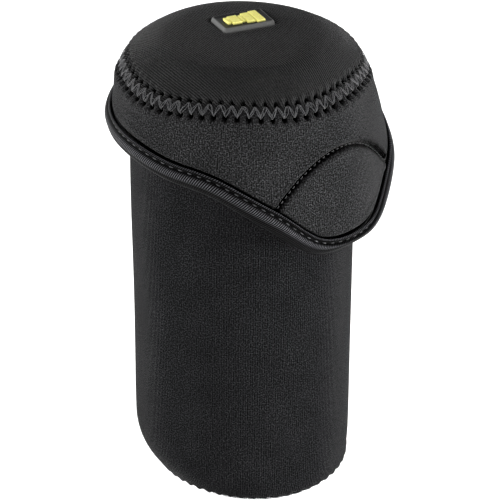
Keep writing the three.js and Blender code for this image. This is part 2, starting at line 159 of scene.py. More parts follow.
def meshOf(name, points, quads, loopUv, paintedShadeAndTone, weld=False, outwards=False):
    # Object of quads with a map and a darkness tone for each point: painted shade on the cloth, tape and
    # thread, and the rubber's own side and face tones. weld joins the points that lie in one place.
    mesh = bpy.data.meshes.new(name)
    mesh.vertices.add(len(points))
    mesh.vertices.foreach_set("co", (points * mm).astype(np.float32).ravel())
    mesh.loops.add(quads.size)
    mesh.loops.foreach_set("vertex_index", quads.astype(np.int32).ravel())
    mesh.polygons.add(len(quads))
    mesh.polygons.foreach_set("loop_start", np.arange(0, quads.size, 4, dtype=np.int32))
    mesh.update(calc_edges=True)
    mesh.uv_layers.new(name="cloth").data.foreach_set("uv", (loopUv * mm).astype(np.float32).ravel())
    shade = mesh.attributes.new("paintedShadeAndTone", "FLOAT", "POINT")
    shade.data.foreach_set("value", paintedShadeAndTone.astype(np.float32).ravel())
    if weld:
        work = bmesh.new()
        work.from_mesh(mesh)
        bmesh.ops.remove_doubles(work, verts=work.verts, dist=1e-8)
        if outwards:
            bmesh.ops.recalc_face_normals(work, faces=work.faces)
        work.to_mesh(mesh)
        work.free()
    mesh.polygons.foreach_set("use_smooth", np.ones(len(mesh.polygons), bool))
    mesh.update()
    return linked(name, mesh)


def gridMesh(name, points, uv, joinRows=True, joinColumns=True, poles=False, paintedShadeAndTone=None):
    # Quads between neighbours of points[i, j]. uv has one more row or column where the grid joins itself.
    # Faces are turned outwards by the sign of the volume.
    m, n = points.shape[:2]
    rows, columns = m if joinRows else m - 1, n if joinColumns else n - 1
    i, j = np.meshgrid(np.arange(rows), np.arange(columns), indexing="ij")
    corner = [(i, j), (i + 1, j), (i + 1, j + 1), (i, j + 1)]
    quads = np.stack([(a % m) * n + b % n for a, b in corner], -1).reshape(-1, 4)
    loopUv = np.stack([uv[a, b] for a, b in corner], 2).reshape(-1, 4, 2)
    flat = points.reshape(-1, 3)
    p, q, r, s = (flat[quads[:, k]] for k in range(4))
    volume = np.einsum("ij,ij->i", p, np.cross(q, r) + np.cross(r, s)).sum()
    if volume < 0:
        quads, loopUv = quads[:, ::-1], loopUv[:, ::-1]
    return meshOf(name, flat, quads, loopUv, np.zeros(m * n) if paintedShadeAndTone is None else paintedShadeAndTone, weld=poles)


def shellUv(phi, radius, arcs):
    # u is the arc round the piece and v the arc along its profile, in mm
    u = np.append(phi[:, 0], phi[0, 0] + turn)[:, None] * radius
    v = np.vstack([arcs, arcs[:1]])
    v = np.hstack([v, v[:, -1:]])
    return np.stack(np.broadcast_arrays(u, v), -1)


def flatUv(points):
    # Map laid straight down on the points
    whole = np.concatenate([points, points[:1]])
    return np.concatenate([whole[..., :2], whole[:, -1:, :2]], 1)


# Padding: the foam presses each panel outwards between its sewn edges. A coarse copy of the outer face is
# simulated as cloth under pressure, pinned along its seams, and the swell is read back onto the fine face.
padding = {
    "scale": 10,  # simulated ten times too large, where the solver's steps suit it
    "columns": 72,
    "rows": 22,
    "frames": 20,
    "smooth": 3,  # rounds of smoothing over the coarse grid
    "cloth": {
        "use_pressure": True,
        "uniform_pressure_force": 8,
        "mass": 0.3,
        "tension_stiffness": 15,
        "compression_stiffness": 15,
        "bending_stiffness": 1,
    },
}


def simulatedSwell(name, face, ends, depth, freeMiddle=False):
    # Swell of a panel between its ends, from 0 (its seams) to 1. The cloth starts depth mm inside the face.
    v = padding
    phi = around(v["columns"])
    share = np.linspace(0, 1, v["rows"])
    low, high = ends(phi)
    r, z = face(phi, low + (high - low) * share)
    nr, nz = profileNormal(r, z)
    sign = np.sign(np.sum(nr * r))
    inward = depth * np.sin(np.pi * share)
    start = roundAbout(phi, r - sign * nr * inward, z - sign * nz * inward)
    normal = roundAbout(phi, sign * nr, sign * nz)
    piece = gridMesh(name, start * v["scale"], np.zeros((v["columns"] + 1, v["rows"], 2)), joinColumns=False)
    index = np.arange(v["columns"] * v["rows"]).reshape(v["columns"], v["rows"])
    pins = piece.vertex_groups.new(name="seams")
    pins.add(index[:, [-1] if freeMiddle else [0, -1]].ravel().tolist(), 1, "REPLACE")
    cloth = piece.modifiers.new("padding", "CLOTH")
    cloth.settings.vertex_group_mass = "seams"
    for key, value in v["cloth"].items():
        setattr(cloth.settings, key, value)
    cloth.settings.effector_weights.gravity = 0
    cloth.point_cache.frame_end = v["frames"]
    scene = bpy.context.scene
    for step in range(1, v["frames"] + 1):
        scene.frame_set(step)
    moved = np.empty(3 * index.size, np.float32)
    piece.evaluated_get(bpy.context.evaluated_depsgraph_get()).data.vertices.foreach_get("co", moved)
    swell = ((moved.reshape(start.shape) / (mm * v["scale"]) - start) * normal).sum(-1)
    scene.frame_set(1)
    mesh = piece.data
    bpy.data.objects.remove(piece)
    bpy.data.meshes.remove(mesh)
    print("simulated", name, "swell %.2f to %.2f mm" % (swell.min(), swell.max()))
    for _ in range(v["smooth"]):
        swell = (2 * swell + np.roll(swell, 1, 0) + np.roll(swell, -1, 0)) / 4
    return swell / max(swell.max(), 1e-6)


def cubicWeights(t):
    # Weights of four neighbours for a smooth curve through the middle two
    return (t * (t * (2 - t) - 1) / 2, 1 + t * t * (3 * t - 5) / 2,
            t * (1 + t * (4 - 3 * t)) / 2, t * t * (t - 1) / 2)


def readGrid(grid, phi, v):
    # Smooth reading of a grid that runs once round the piece, at a share v of its rows
    m, n = grid.shape
    x, y = (phi + np.pi) / turn % 1 * m, np.clip(v, 0, 1) * (n - 1)
    i, j = np.floor(x).astype(int), np.minimum(np.floor(y).astype(int), n - 2)
    total = 0
    for a, across in enumerate(cubicWeights(x - i)):
        for b, down in enumerate(cubicWeights(y - j)):
            total = total + across * down * grid[(i + a - 1) % m, np.clip(j + b - 1, 0, n - 1)]
    return total


def dress(piece, material, slot, body, *nodes):
    # Gives a finished piece its material and its body, and hides the CAD nodes that it stands for
    piece.data.materials.clear()
    piece.data.materials.append(material)
    if body:
        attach(piece, body)
    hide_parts(*nodes)
    print("made", piece.name, len(piece.data.polygons), "faces")
    return piece


def sew(piece, body, node):
    dress(piece, seamThread, "thread", body, node)


# Materials

def linear(colour):
    # sRGB hex to linear RGBA
    srgb = np.array([int(colour[k:k + 2], 16) for k in (1, 3, 5)]) / 255
    return (*np.where(srgb <= 0.04045, srgb / 12.92, ((srgb + 0.055) / 1.055) ** 2.4), 1)


def nodeAdder(tree):
    # Adds a shader node, such as "Math.ADD", with its settings, and its inputs set or linked. A node stands
    # for its first output.
    def add(kind, inputs=None, **settings):
        kind, _, operation = kind.partition(".")
        made = tree.nodes.new("ShaderNode" + kind)
        if operation:
            made.operation = operation
        for key, value in settings.items():
            setattr(made, key, value)
        for key, value in (inputs or {}).items():
            if isinstance(value, bpy.types.Node):
                value = value.outputs[0]
            if isinstance(value, bpy.types.NodeSocket):
                tree.links.new(value, made.inputs[key])
            else:
                made.inputs[key].default_value = value
        return made
    return add


def newMaterial(name, surface, *values):
    material = bpy.data.materials.new(name)
    material.use_nodes = True
    material.node_tree.nodes.clear()
    add = nodeAdder(material.node_tree)
    add("OutputMaterial", {"Surface": surface(add, *values)})
    return material


# Neoprene sponge faced with black polyester jersey, knitted and heat-bonded: matt, with fine upright wales of
# V loops, a mottled grain and a light fuzz that shows at the edges
jerseyKnit = {
    "wale": 1.1,  # mm from rib to rib
    "course": 0.85,  # mm from loop to loop
    "ribEdge": 0.32,  # where a rib is full, from the gap (0) to its crest (0.5)
    "loopSlant": 0.42,  # how far a loop's legs lean, in courses
    "loopHeight": 0.4,  # against a rib's
    "thread": "#161617",
    "gap": "#060607",
    "fuzz": "#3f3f40",
    "fuzziness": 0.9,
    "pore": 0.3,  # tone of the gaps between fibres
    "grain": 0.65,  # mm
    "grainHeight": 1.1,  # against a rib's
    "patch": 16,  # mm, slow mottling
    "mottle": (0.86, 1.12),  # tones of the patches
    "deep": 0.02,  # tone of the painted shade at its darkest, in holes, grooves and round the badge's foot
    "bump": 0.16,  # mm
    "roughness": 0.9,
    "sheen": 0.21,
}
topKnit = {**jerseyKnit, "wale": 1.12, "bump": 0.42, "thread": "#2f2f2f", "gap": "#010101",
           "fuzz": "#3f3f41", "fuzziness": 0.5}
skirtKnit = {**jerseyKnit, "wale": 1.0, "thread": "#1e1e1e", "gap": "#0f0f0f", "fuzz": "#525254",
             "loopHeight": 0.25}


def ribs(add, along, pitch):
    # 0 in the gaps and 0.5 on the crests of ribs that come every pitch mm
    return add("Math.PINGPONG", {0: add("Math.MULTIPLY", {0: along, 1: 1 / (pitch * mm)}), 1: 0.5})


def jerseyNeoprene(add, values):
    gap, thread, fuzz = (linear(values[key]) for key in ("gap", "thread", "fuzz"))
    light, dark = values["mottle"][::-1]
    uv = add("UVMap", uv_map="cloth")
    axes = add("SeparateXYZ", {0: uv})
    fold = ribs(add, axes, values["wale"])
    course = add("Math.MULTIPLY", {0: axes.outputs[1], 1: 1 / (values["course"] * mm)})
    slant = add("Math.MULTIPLY_ADD", {0: fold, 1: 2 * values["loopSlant"], 2: course})
    loop = add("Math.PINGPONG", {0: slant, 1: 0.5})
    ridge = add("MapRange", {0: fold, 2: values["ribEdge"]}, interpolation_type="SMOOTHSTEP")
    knit = add("Math.MULTIPLY_ADD", {0: loop, 1: values["loopHeight"], 2: ridge})
    grain = add("TexNoise", {"Vector": uv, "Scale": 1 / (values["grain"] * mm), "Detail": 3.0,
                                       "Roughness": 0.65})
    patch = add("TexNoise", {"Vector": uv, "Scale": 1 / (values["patch"] * mm), "Detail": 2.0})
    height = add("Math.MULTIPLY_ADD", {0: grain, 1: values["grainHeight"], 2: knit})
    bump = add("Bump", {"Height": height, "Distance": values["bump"] * mm, "Strength": 0.9})
    cloth = add("Mix", {0: ridge, 6: gap, 7: thread}, data_type="RGBA")
    speck = add("MapRange", {0: grain, 1: 0.5, 2: 0.7, 4: values["fuzziness"]})
    fuzzy = add("Mix", {0: speck, 6: cloth.outputs[2], 7: fuzz}, data_type="RGBA")
    pore = add("MapRange", {0: grain, 1: 0.3, 2: 0.5, 3: values["pore"]})
    mottle = add("MapRange", {0: patch, 1: 0.3, 2: 0.7, 3: dark, 4: light})
    # Painted shade: the mesh's darkness tone darkens the cloth in seams, holes, grooves, where it tucks into
    # tape and round the badge
    paintedShadeAndTone = add("Attribute", attribute_name="paintedShadeAndTone")
    shadow = add("MapRange", {0: paintedShadeAndTone.outputs["Fac"], 3: 1.0, 4: values["deep"]})
    tone = add("Math.MULTIPLY", {0: mottle, 1: shadow})
    lit = add("Math.MULTIPLY", {0: tone, 1: pore})
    colour = add("VectorMath.SCALE", {0: fuzzy.outputs[2], "Scale": lit})
    return add("BsdfPrincipled", {
        "Base Color": colour, "Normal": bump, "Roughness": values["roughness"], "IOR": 1.45,
        "Specular IOR Level": 0.0, "Sheen Weight": values["sheen"], "Sheen Roughness": 0.18})


# Black nylon grosgrain tape, woven with a fine warp over thick ribs: a satin black. Its ribs are real, but
# their crests are painted grey and the gaps black: painted highlight on the crests and painted shade in the
# gaps.
grosgrain = {
    "rib": 1.02,  # mm from rib to rib, a little coarser than real, so that it shows
    "slant": 0.35,  # mm that a rib leans for each mm across the tape
    "warp": 0.32,  # mm between the fine threads that run along the tape
    "warpHeight": 0.3,  # against a rib's
    # thread: painted highlight colour of the rib crests; gap: painted shade colour between the ribs
    "thread": "#56565a",
    "gap": "#000000",
    "ribEdge": (0.2, 0.47),  # where a rib rises and where it is full, from gap (0) to crest (0.5)
    "fibres": 0.9,  # to the mm
    "wear": (0.7, 1.3),  # tones of worn and fresh threads
    "bump": 0.25,
    "roughness": 0.45,
    "gloss": 0.04,
}


def wovenTape(add, values):
    gap, thread = linear(values["gap"]), linear(values["thread"])
    foot, crest = values["ribEdge"]
    worn, fresh = values["wear"]
    uv = add("UVMap", uv_map="cloth")
    axes = add("SeparateXYZ", {0: uv})
    lean = add("Math.MULTIPLY_ADD", {0: axes.outputs[1], 1: values["slant"], 2: axes})
    grain = add("TexNoise", {"Vector": uv, "Scale": values["fibres"] / mm, "Detail": 3.0})
    rib = ribs(add, lean, values["rib"])
    ridge = add("MapRange", {0: rib, 1: foot, 2: crest}, interpolation_type="SMOOTHSTEP")
    warp = ribs(add, axes.outputs[1], values["warp"])
    fine = add("Math.MULTIPLY_ADD", {0: warp, 1: values["warpHeight"], 2: ridge})
    height = add("Math.MULTIPLY_ADD", {0: grain, 1: 0.35, 2: fine})
    bump = add("Bump", {"Height": height, "Distance": values["bump"] * mm})
    # Painted shade: the mesh's darkness tone pulls the tape to the gap colour in its furrow and where the
    # band rolls under
    paintedShadeAndTone = add("Attribute", attribute_name="paintedShadeAndTone")
    clear = add("MapRange", {0: paintedShadeAndTone.outputs["Fac"], 3: 1.0, 4: 0.0})
    lit = add("Math.MULTIPLY", {0: ridge, 1: clear})
    woven = add("Mix", {0: lit, 6: gap, 7: thread}, data_type="RGBA")
    wear = add("MapRange", {0: grain, 1: 0.3, 2: 0.7, 3: worn, 4: fresh})
    colour = add("VectorMath.SCALE", {0: woven.outputs[2], "Scale": wear})
    return add("BsdfPrincipled", {
        "Base Color": colour, "Normal": bump, "Roughness": values["roughness"], "IOR": 1.5,
        "Specular IOR Level": values["gloss"]})


# Bonded polyester sewing thread, two plies twisted: grey where it lies proud, with a soft gleam, and darkened
# toward its ends as painted shade where it dives into the cloth
sewingThread = {
    "light": "#4a4a4e",
    "dark": "#060607",
    "fibres": 0.7,  # to the mm
    "bump": 0.03,  # mm
    "roughness": 0.5,
    "sheen": 0.3,
}


def twistedThread(add, values):
    uv = add("UVMap", uv_map="cloth")
    fibre = add("TexNoise", {"Vector": uv, "Scale": values["fibres"] / mm, "Detail": 3.0})
    sunk = add("Attribute", attribute_name="paintedShadeAndTone")
    # Painted shade toward the stitch ends, from the mesh's darkness tone
    clear = add("Math.SUBTRACT", {0: 1.0, 1: sunk.outputs["Fac"]})
    shine = add("Math.MULTIPLY", {0: fibre, 1: clear})
    dark, light = linear(values["dark"]), linear(values["light"])
    colour = add("Mix", {0: shine, 6: dark, 7: light}, data_type="RGBA")
    bump = add("Bump", {"Height": fibre, "Distance": values["bump"] * mm})
    return add("BsdfPrincipled", {
        "Base Color": colour.outputs[2], "Normal": bump, "Roughness": values["roughness"],
        "Sheen Weight": values["sheen"]})


# Soft PVC, moulded: satin, faintly pebbled, greyer on its worn sides than on its sunken face
blackPvc = {
    "side": "#545453",
    "face": "#030303",
    "pebbles": 1.8,  # to the mm
    "wear": (0.85, 1.2),  # tones of worn and fresh spots
    "bump": 0.05,  # mm
    "roughness": 0.55,
    "gloss": 0.2,
}
yellowPvc = {**blackPvc, "side": "#fff88e", "face": "#fff88e"}


def mouldedRubber(add, values):
    side, face = linear(values["side"]), linear(values["face"])
    worn, fresh = values["wear"]
    place = add("TexCoord").outputs["Object"]
    pebble = add("TexNoise", {"Vector": place, "Scale": values["pebbles"] / mm, "Detail": 3.0})
    wear = add("MapRange", {0: pebble, 1: 0.3, 2: 0.75, 3: worn, 4: fresh})
    sunk = add("Attribute", attribute_name="paintedShadeAndTone").outputs["Fac"]
    tone = add("Mix", {0: sunk, 6: side, 7: face}, data_type="RGBA")
    colour = add("VectorMath.SCALE", {0: tone.outputs[2], "Scale": wear})
    bump = add("Bump", {"Height": pebble, "Distance": values["bump"] * mm, "Strength": 0.6})
    return add("BsdfPrincipled", {
        "Base Color": colour, "Normal": bump, "Roughness": values["roughness"],
        "Specular IOR Level": values["gloss"]})


bodyNeoprene = newMaterial("neoprene, jersey faced, body", jerseyNeoprene, jerseyKnit)
topNeoprene = newMaterial("neoprene, jersey faced, lid top", jerseyNeoprene, topKnit)
skirtNeoprene = newMaterial("neoprene, jersey faced, lid skirt", jerseyNeoprene, skirtKnit)
tape = newMaterial("nylon grosgrain tape, woven", wovenTape, grosgrain)
seamThread = newMaterial("bonded polyester thread, twisted", twistedThread, sewingThread)
blackRubber = newMaterial("soft PVC, moulded black", mouldedRubber, blackPvc)
yellowRubber = newMaterial("soft PVC, moulded yellow", mouldedRubber, yellowPvc)
print("materials made")


# Body of the pouch: a tube of neoprene, rounded in at the bottom and sewn to a round base
pouchBody = {
    "radius": boxOf("body_panel")[1][0],
    "mouth": boxOf("mouth_binding")[1][2],
    "wall": 5,
    "corner": 19.6,  # radius of the bottom corner
    "cornerSway": 10,  # how much rounder it is on one side than on the other
    "cornerSwayAt": 41,
    "seamLean": 31,  # degrees round the corner, from the flat up to the base seam
    "press": 1,  # how far inside the padding starts
    "plump": 0.45,  # how far it swells out
    "swell": 0.35,  # unevenness of the cloth
    "pucker": 0.55,  # height of the puckers at the base seam
    "rearPucker": 0.2,
    "fine": 9,  # mm beside the base seam that have fine rows
    "fineRows": 23,
    "firstWall": 30.75,  # height of the first row of points on the upright wall
    "columns": 720,
}

# Zigzag seam over two butted edges. Holes lie in two half-offset rows, and t is the distance from the seam.
zigzag = {
    "pitch": 5,
    "row": 3.5,  # seam to a row of holes
    "groove": 0.2,
    "grooveWidth": 1.2,
    "hole": 2.8,  # depth
    "holeAlong": 0.95,
    "holeAcross": 1.25,
    "rowDip": (0.35, 1.3),  # depth and width of the dip along a row
    "puff": (0.45, 7, 2.6),  # height, distance from the seam and width of the ridge
    "puckers": (5, 2.1),  # distance from the seam and width
    "pucker": 0.35,  # their height on the lid
    "shade": 0.45,  # painted shade between the rows
    "thread": 0.19,  # thickness
    "strands": 3,
    "bow": 0.6,  # how far a strand bends aside along the seam
    "stray": 0.26,  # unevenness of the strands
    "lift": 0.03,
    "dive": 1.5,  # how deep its ends sink into the holes
}
seamGap = 0.04  # half of the gap between butted edges
backSeam = {"low": 34.5, "high": 156.5}


def seamRelief(stitch, t, pucker):
    # Height and painted shade at a zigzag seam: a groove, a pit at each hole, a puffed ridge on both sides
    # and small puckers, with painted shade between the rows and in the holes. stitch counts stitches along
    # the seam, and t is mm across it.
    values, beside, row = zigzag, np.abs(t), zigzag["row"]
    phase = stitch + np.where(t > 0, 0.5, 0)
    off = (phase - np.round(phase)) * values["pitch"]
    pit = bell(off, values["holeAlong"]) * bell(beside - row - 0.25, values["holeAcross"])
    height = -values["groove"] * bell(t, values["grooveWidth"]) - values["hole"] * pit
    (dip, dipWidth), (puff, puffAt, puffWidth), (puckerAt, puckerWidth) = (
        values[key] for key in ("rowDip", "puff", "puckers"))
    height += puff * bell(beside - puffAt, puffWidth) - dip * bell(beside - row, dipWidth)
    height += pucker * -np.cos(turn * phase) * bell(beside - puckerAt, puckerWidth)
    # Painted shade between the rows of holes, darker still in the holes
    between = values["shade"] * (1 - ease((beside - row + 1.2) / 1.4))
    return height, np.clip(between + 3 * pit, 0, 1)


def seamedFace(face, phi, t, stitches, pucker):
    # Points and normals of a face, with the height and painted shade of its seam at t = 0
    r, z = face(phi, t)
    return r, z, *profileNormal(r, z), *seamRelief(phi * stitches / turn, t, pucker)


def carried(phi, *parts):
    # Parts of a profile, each its radii and heights, joined up and carried round
    return roundAbout(phi, *(np.hstack(part) for part in zip(*parts)))


def cornerAt(phi):
    # Radius of the bottom corner, and the arc from the flat to the base seam
    b = pouchBody
    c = b["corner"] - b["cornerSway"] * np.cos(phi - np.radians(b["cornerSwayAt"]))
    return c, np.radians(b["seamLean"]) * c


def bodyFace(phi, t):
    # Outer face from the base seam (t = 0) out and up: a corner of radius c, then an upright wall
    c, seam = cornerAt(phi)
    arc = seam + t
    lean = np.clip(arc / c, 0, np.pi / 2)
    r = pouchBody["radius"] - c + c * np.sin(lean) + np.minimum(arc, 0)
    return r, c - c * np.cos(lean) + np.maximum(arc - c * np.pi / 2, 0)


def arcToHeight(phi, z):
    # The t at which the upright wall reaches height z
    c, seam = cornerAt(phi)
    return c * (np.pi / 2 - 1) + z - seam


baseStitches = np.round(turn * (pouchBody["radius"] - pouchBody["corner"] / 2) / zigzag["pitch"])


def makeBodyPanel():
    # Outer face, mouth edge and inner face as one closed profile, carried round
    b, binding = pouchBody, mouthBinding
    low, high = backSeam["low"], backSeam["high"]
    phi = around(b["columns"])
    foot = mouthFoot
    step, fine, first = zigzag["pitch"] / 4, b["fine"], b["firstWall"]
    seamRows = np.linspace(seamGap, fine, b["fineRows"]) + 0 * phi
    cornerRows = fine + (arcToHeight(phi, first) - fine) * np.linspace(0, 1, 14)[1:]
    heights = np.append(np.arange(first + step, high + 6, step), np.linspace(166, foot - 2, 12))
    t = np.hstack([seamRows, cornerRows, arcToHeight(phi, heights)])
    r, z, nr, nz, relief, dark = seamedFace(bodyFace, phi, t, baseStitches, b["pucker"])
    sideways = np.arctan2(np.sin(phi - np.pi), np.cos(phi - np.pi)) * b["radius"] + 0 * z
    # dark and rearDark are painted shade of the base seam and the rear seam
    rearRelief, rearDark = seamRelief((z - low) / zigzag["pitch"], sideways, b["rearPucker"])
    onBack = ease((z - low + 3) / 3) * ease((high + 4 - z) / 4)
    relief = relief + rearRelief * onBack
    dark = np.clip(dark + rearDark * onBack, 0, 1)
    calm = ease((t - 2) / 20) * ease((foot - z) / 20)
    full = simulatedSwell("body padding", bodyFace, lambda a: (0 * a, arcToHeight(a, foot)), b["press"])
    puffed = readGrid(full, phi, t / arcToHeight(phi, foot))
    relief = relief + b["plump"] * puffed + softWaves(phi, z, b["swell"]) * calm
    top = b["mouth"] - binding["half"] - binding["tape"] - 0.6
    edge = [np.array(part) + 0 * phi for part in (mouthMiddle + binding["pinch"] * np.array([1, 1, -1, -1]),
                                                  [foot, top, top, foot])]
    inner = np.hstack([t[:, :22:4], t[:, 23:36:3], t[:, 40::9]])[:, ::-1]
    points = carried(phi, (r + nr * relief, np.maximum(z + nz * relief, 0)), edge,
                     besideFace(bodyFace, phi, inner, b["wall"]))
    uv = shellUv(phi, b["radius"], np.hstack([t, t[:, -1:] + [2, 6, 9, 13], inner]))
    return gridMesh("body_cloth", points, uv, paintedShadeAndTone=np.hstack([dark, 0 * edge[0], 0 * inner]))


def makeBaseDisc():
    # Flat bottom from its middle out, up round the corner to the base seam, and back on the inside
    b, fine = pouchBody, pouchBody["fine"]
    phi = around(b["columns"])
    c, seam = cornerAt(phi)
    flat = -seam - (b["radius"] - c)
    t = np.hstack([flat + (-fine - flat) * np.linspace(0, 1, 16)[:-1],
                   np.linspace(-fine, -seamGap, b["fineRows"]) + 0 * phi])
    r, z, nr, nz, relief, dark = seamedFace(bodyFace, phi, t, baseStitches, b["pucker"])
    outerR, outerZ = r + nr * relief * (r > 1), np.maximum(z + nz * relief, 0)
    inner = t[:, ::-3].copy()
    inner[:, -1:] = flat
    innerR, innerZ = besideFace(bodyFace, phi, inner, b["wall"])
    innerR = np.maximum(innerR, 0)
    outerR[:, 0] = innerR[:, -1] = 0
    points = carried(phi, (outerR, outerZ), (innerR, innerZ))
    return gridMesh("base_cloth", points, flatUv(points), joinColumns=False, poles=True,
                    paintedShadeAndTone=np.hstack([dark, 0 * innerR]))


# Tape folded over an edge: a selvage, a line of stitches in a furrow, and a ribbed band that rolls round the
# edge to the inside. half is half of what it folds round, and tape its own thickness.
mouthBinding = {"height": 8, "half": 2.0, "tape": 0.8, "pinch": 1.7, "draw": 0.4, "sunk": 0.6}
rimBinding = {"height": 9.4, "half": 2.0, "tape": 0.8, "proud": 0.8}
mouthMiddle = pouchBody["radius"] - pouchBody["wall"] / 2 - mouthBinding["draw"]
mouthFoot = pouchBody["mouth"] - mouthBinding["height"]
foldedTape = {
    "step": 1.2,  # mm between the mesh's columns
    "lip": 1.85,  # width of the selvage above the stitches
    "lipBulge": 0.32,
    "lipRidges": (0.4, 1.2, 0.32),  # where the selvage's two ridges lie, and their width
    "lipShade": 0.8,  # painted shade between the selvage's two ridges
    "lipTone": 0.5,  # darkness of the whole selvage
    "furrow": 0.8,  # depth of the stitch furrow
    "furrowWidth": 0.7,
    # painted shade in the stitch furrow
    "furrowShade": 1.3,
    "bandBulge": 1.0,
    "bandShade": 0.95,  # painted shade where the band rolls under
}


def tapeProfile(height, half, thick, values):
    # Across (from the middle of the wall) and along (from the upper edge) for a closed loop of points: outer
    # face, half circle round the edge, inner face and the pocket between them. Also how dark each point is: a
    # darker selvage, and painted shade between its ridges, in the stitch furrow, where the band rolls under
    # and in the pocket.
    outer, lip = half + thick, values["lip"]
    pocket = height[:, None] - outer
    ones = np.ones((len(height), 1))
    run = np.linspace(0, 1, 31) * (pocket - 0.3) + 0.3
    band = np.clip((run - lip) / (pocket - lip), 0, 1)
    first, second, width = values["lipRidges"]
    ridges = bell(run - first, width) + bell(run - second, width)
    swell = values["lipBulge"] * ridges - values["furrow"] * bell(run - lip, values["furrowWidth"])
    swell = swell + values["bandBulge"] * np.sin(np.pi * (0.1 + 0.9 * band ** 1.7)) * ease(band * 3)
    ends = np.array([[half + 0.05, 0.12], [half + 0.12, -0.06], [outer - 0.3, -0.14], [outer - 0.04, -0.02]])
    bend = np.linspace(0, np.pi, 14)[1:-1]
    back = slice(None, None, -3)
    across = [ends[:, 0] * ones, outer + swell, outer * np.cos(bend) * ones, -(outer + swell[:, back]),
              -ends[::-1, 0] * ones, np.array([-half, -half, half, half]) * ones]
    edge = np.array([0, 1, 1, 0]) * (pocket - 0.5) + np.array([0.6, 0.2, 0.2, 0.6])
    along = [ends[:, 1] * ones, run, pocket + outer * np.sin(bend), run[:, back], ends[::-1, 1] * ones, edge]
    shade = values["lipTone"] * (run < lip) + values["lipShade"] * bell(run - 0.8, 0.2)
    shade = np.clip(shade + values["furrowShade"] * bell(run - lip - 0.2, 0.9), 0, 1)
    shade = shade + values["bandShade"] * ease(band * 2.6 - 1.7)
    lit = 0 * ends[:, 0] * ones
    # The bend takes the band's painted shade, and the hidden pocket is painted fully dark
    dark = [lit, shade, values["bandShade"] + 0 * ones * bend, shade[:, back], lit, 0 * edge + 1]
    return [np.hstack(part) for part in (across, along, dark)]


def foldedTapeMesh(name, origin, normal, down, length, height, binding):
    # The profile, carried along evenly spaced frames. The map is stretched by less than one rib, so that the
    # ribs close on themselves.
    across, along, dark = tapeProfile(height, binding["half"], binding["tape"], foldedTape)
    points = origin[:, None] + normal[:, None] * across[..., None] + down[:, None] * along[..., None]
    step = np.hypot(*(np.diff(part, axis=1, append=part[:, :1]) for part in (across, along)))
    v = np.cumsum(step, axis=1) - step
    v = np.hstack([v, v[:, -1:] + 1])
    u = np.linspace(0, np.round(length / grosgrain["rib"]) * grosgrain["rib"], len(origin) + 1)[:, None]
    uv = np.stack(np.broadcast_arrays(u, np.vstack([v, v[:1]])), -1)
    return gridMesh(name, points, uv, paintedShadeAndTone=np.clip(dark, 0, 1))


def makeMouthBinding():
    length = turn * mouthMiddle
    phi = around(int(length / foldedTape["step"]))[:, 0]
    origin = roundAbout(phi, mouthMiddle, mouthFoot)
    down = 0 * origin + [0, 0, 1]
    return foldedTapeMesh("mouth_tape", origin, roundAbout(phi, 1, 0 * phi), down, length,
                          0 * phi + mouthBinding["height"], mouthBinding)


# Lid: a round top, sewn to a skirt that hangs to a pull tab in front
lid = {
    "top": boxOf("lid_top_disc")[1][2],
    "wall": 5,
    "radius": pouchBody["radius"] + 2.4 + 5,
    "shoulder": 22.4,  # radius of the shoulder's arc
    "slump": 2.6,  # the shoulder sags most at slumpAt
    "slumpAt": -42,
    "seamLean": 62,  # degrees down the shoulder
    "wander": 1.0,
    "wanderTurn": 99,
    "flareReach": 0.35,
    "flareLift": 0.9,
    "hub": 5,  # radius of the middle of the top that the padding moves as one
    "crown": 0.15,  # how far the top swells
    "soften": 4.5,
    "press": 1,
    "plump": 0.3,
    "tuck": 0.8,  # how far the wall lies inside the tape that binds it
    "tuckDip": 1.7,  # how far the cloth dips where it goes into the tape
    "swell": 0.35,
    "topSwell": 0.25,
    "grainTurn": 77,  # the wales run this way over the top, in degrees from +X
    "columns": 680,
}

# The bound rim: how low it hangs, how far it flares, how it leans and how much of the tape shows, as shares
# from the tab round to the hinge
rim = {
    "rearHeight": lid["top"] - 34.7,
    "rearRadius": lid["radius"] + 3.9,
    "tabDrop": 47,
    "tabFlare": 7.5,
    "lean": 22,
    "dropShares": [1, 0.955, 0.585, 0.315, 0.225, 0.16, 0.13, 0.1, 0.04, 0],
    "flareShares": [0.7, 0.7, 0.84, 0.41, 0.28, 0.12, 0, -0.02, 0, 0],
    "leanShares": [0.05, 0.25, 0.5, 0.55, 0.4, 0.3, 0.5, 0.8, 1, 1],
    "tapeShares": [0.63, 0.86, 0.97, 0.96, 0.98, 1, 0.95, 0.86, 0.92, 1],
}
seamAngle = np.radians(lid["seamLean"])


# The bend from the flat top into the shoulder is spread over soften mm: its curvature rises as
# 1 / (1 + exp(-x / soften)) instead of at once, and the middle of the top stands higher for it.
bendAt = np.linspace(-45, 45, 901)
bendSlope = lid["soften"] * np.log(1 + np.exp(bendAt / lid["soften"])) - np.maximum(bendAt, 0)
bendFall = np.cumsum(bendSlope) * (bendAt[1] - bendAt[0]) / lid["shoulder"]


def shoulderPoint(phi, lean):
    # Point of the shoulder, lean radians down from the flat top, or in over it where lean is negative
    over = np.maximum(lean, 0)
    slump = lid["slump"] * (1 + np.cos(phi - np.radians(lid["slumpAt"]))) / 2
    reach = lid["shoulder"] - slump * np.sin(2 * over)
    r = lid["radius"] - lid["shoulder"] + reach * np.sin(over) + lid["shoulder"] * np.minimum(lean, 0)
    z = lid["top"] - lid["shoulder"] + reach * np.cos(over)
    return r, z + bendFall[-1] - np.interp(lean * lid["shoulder"], bendAt, bendFall)


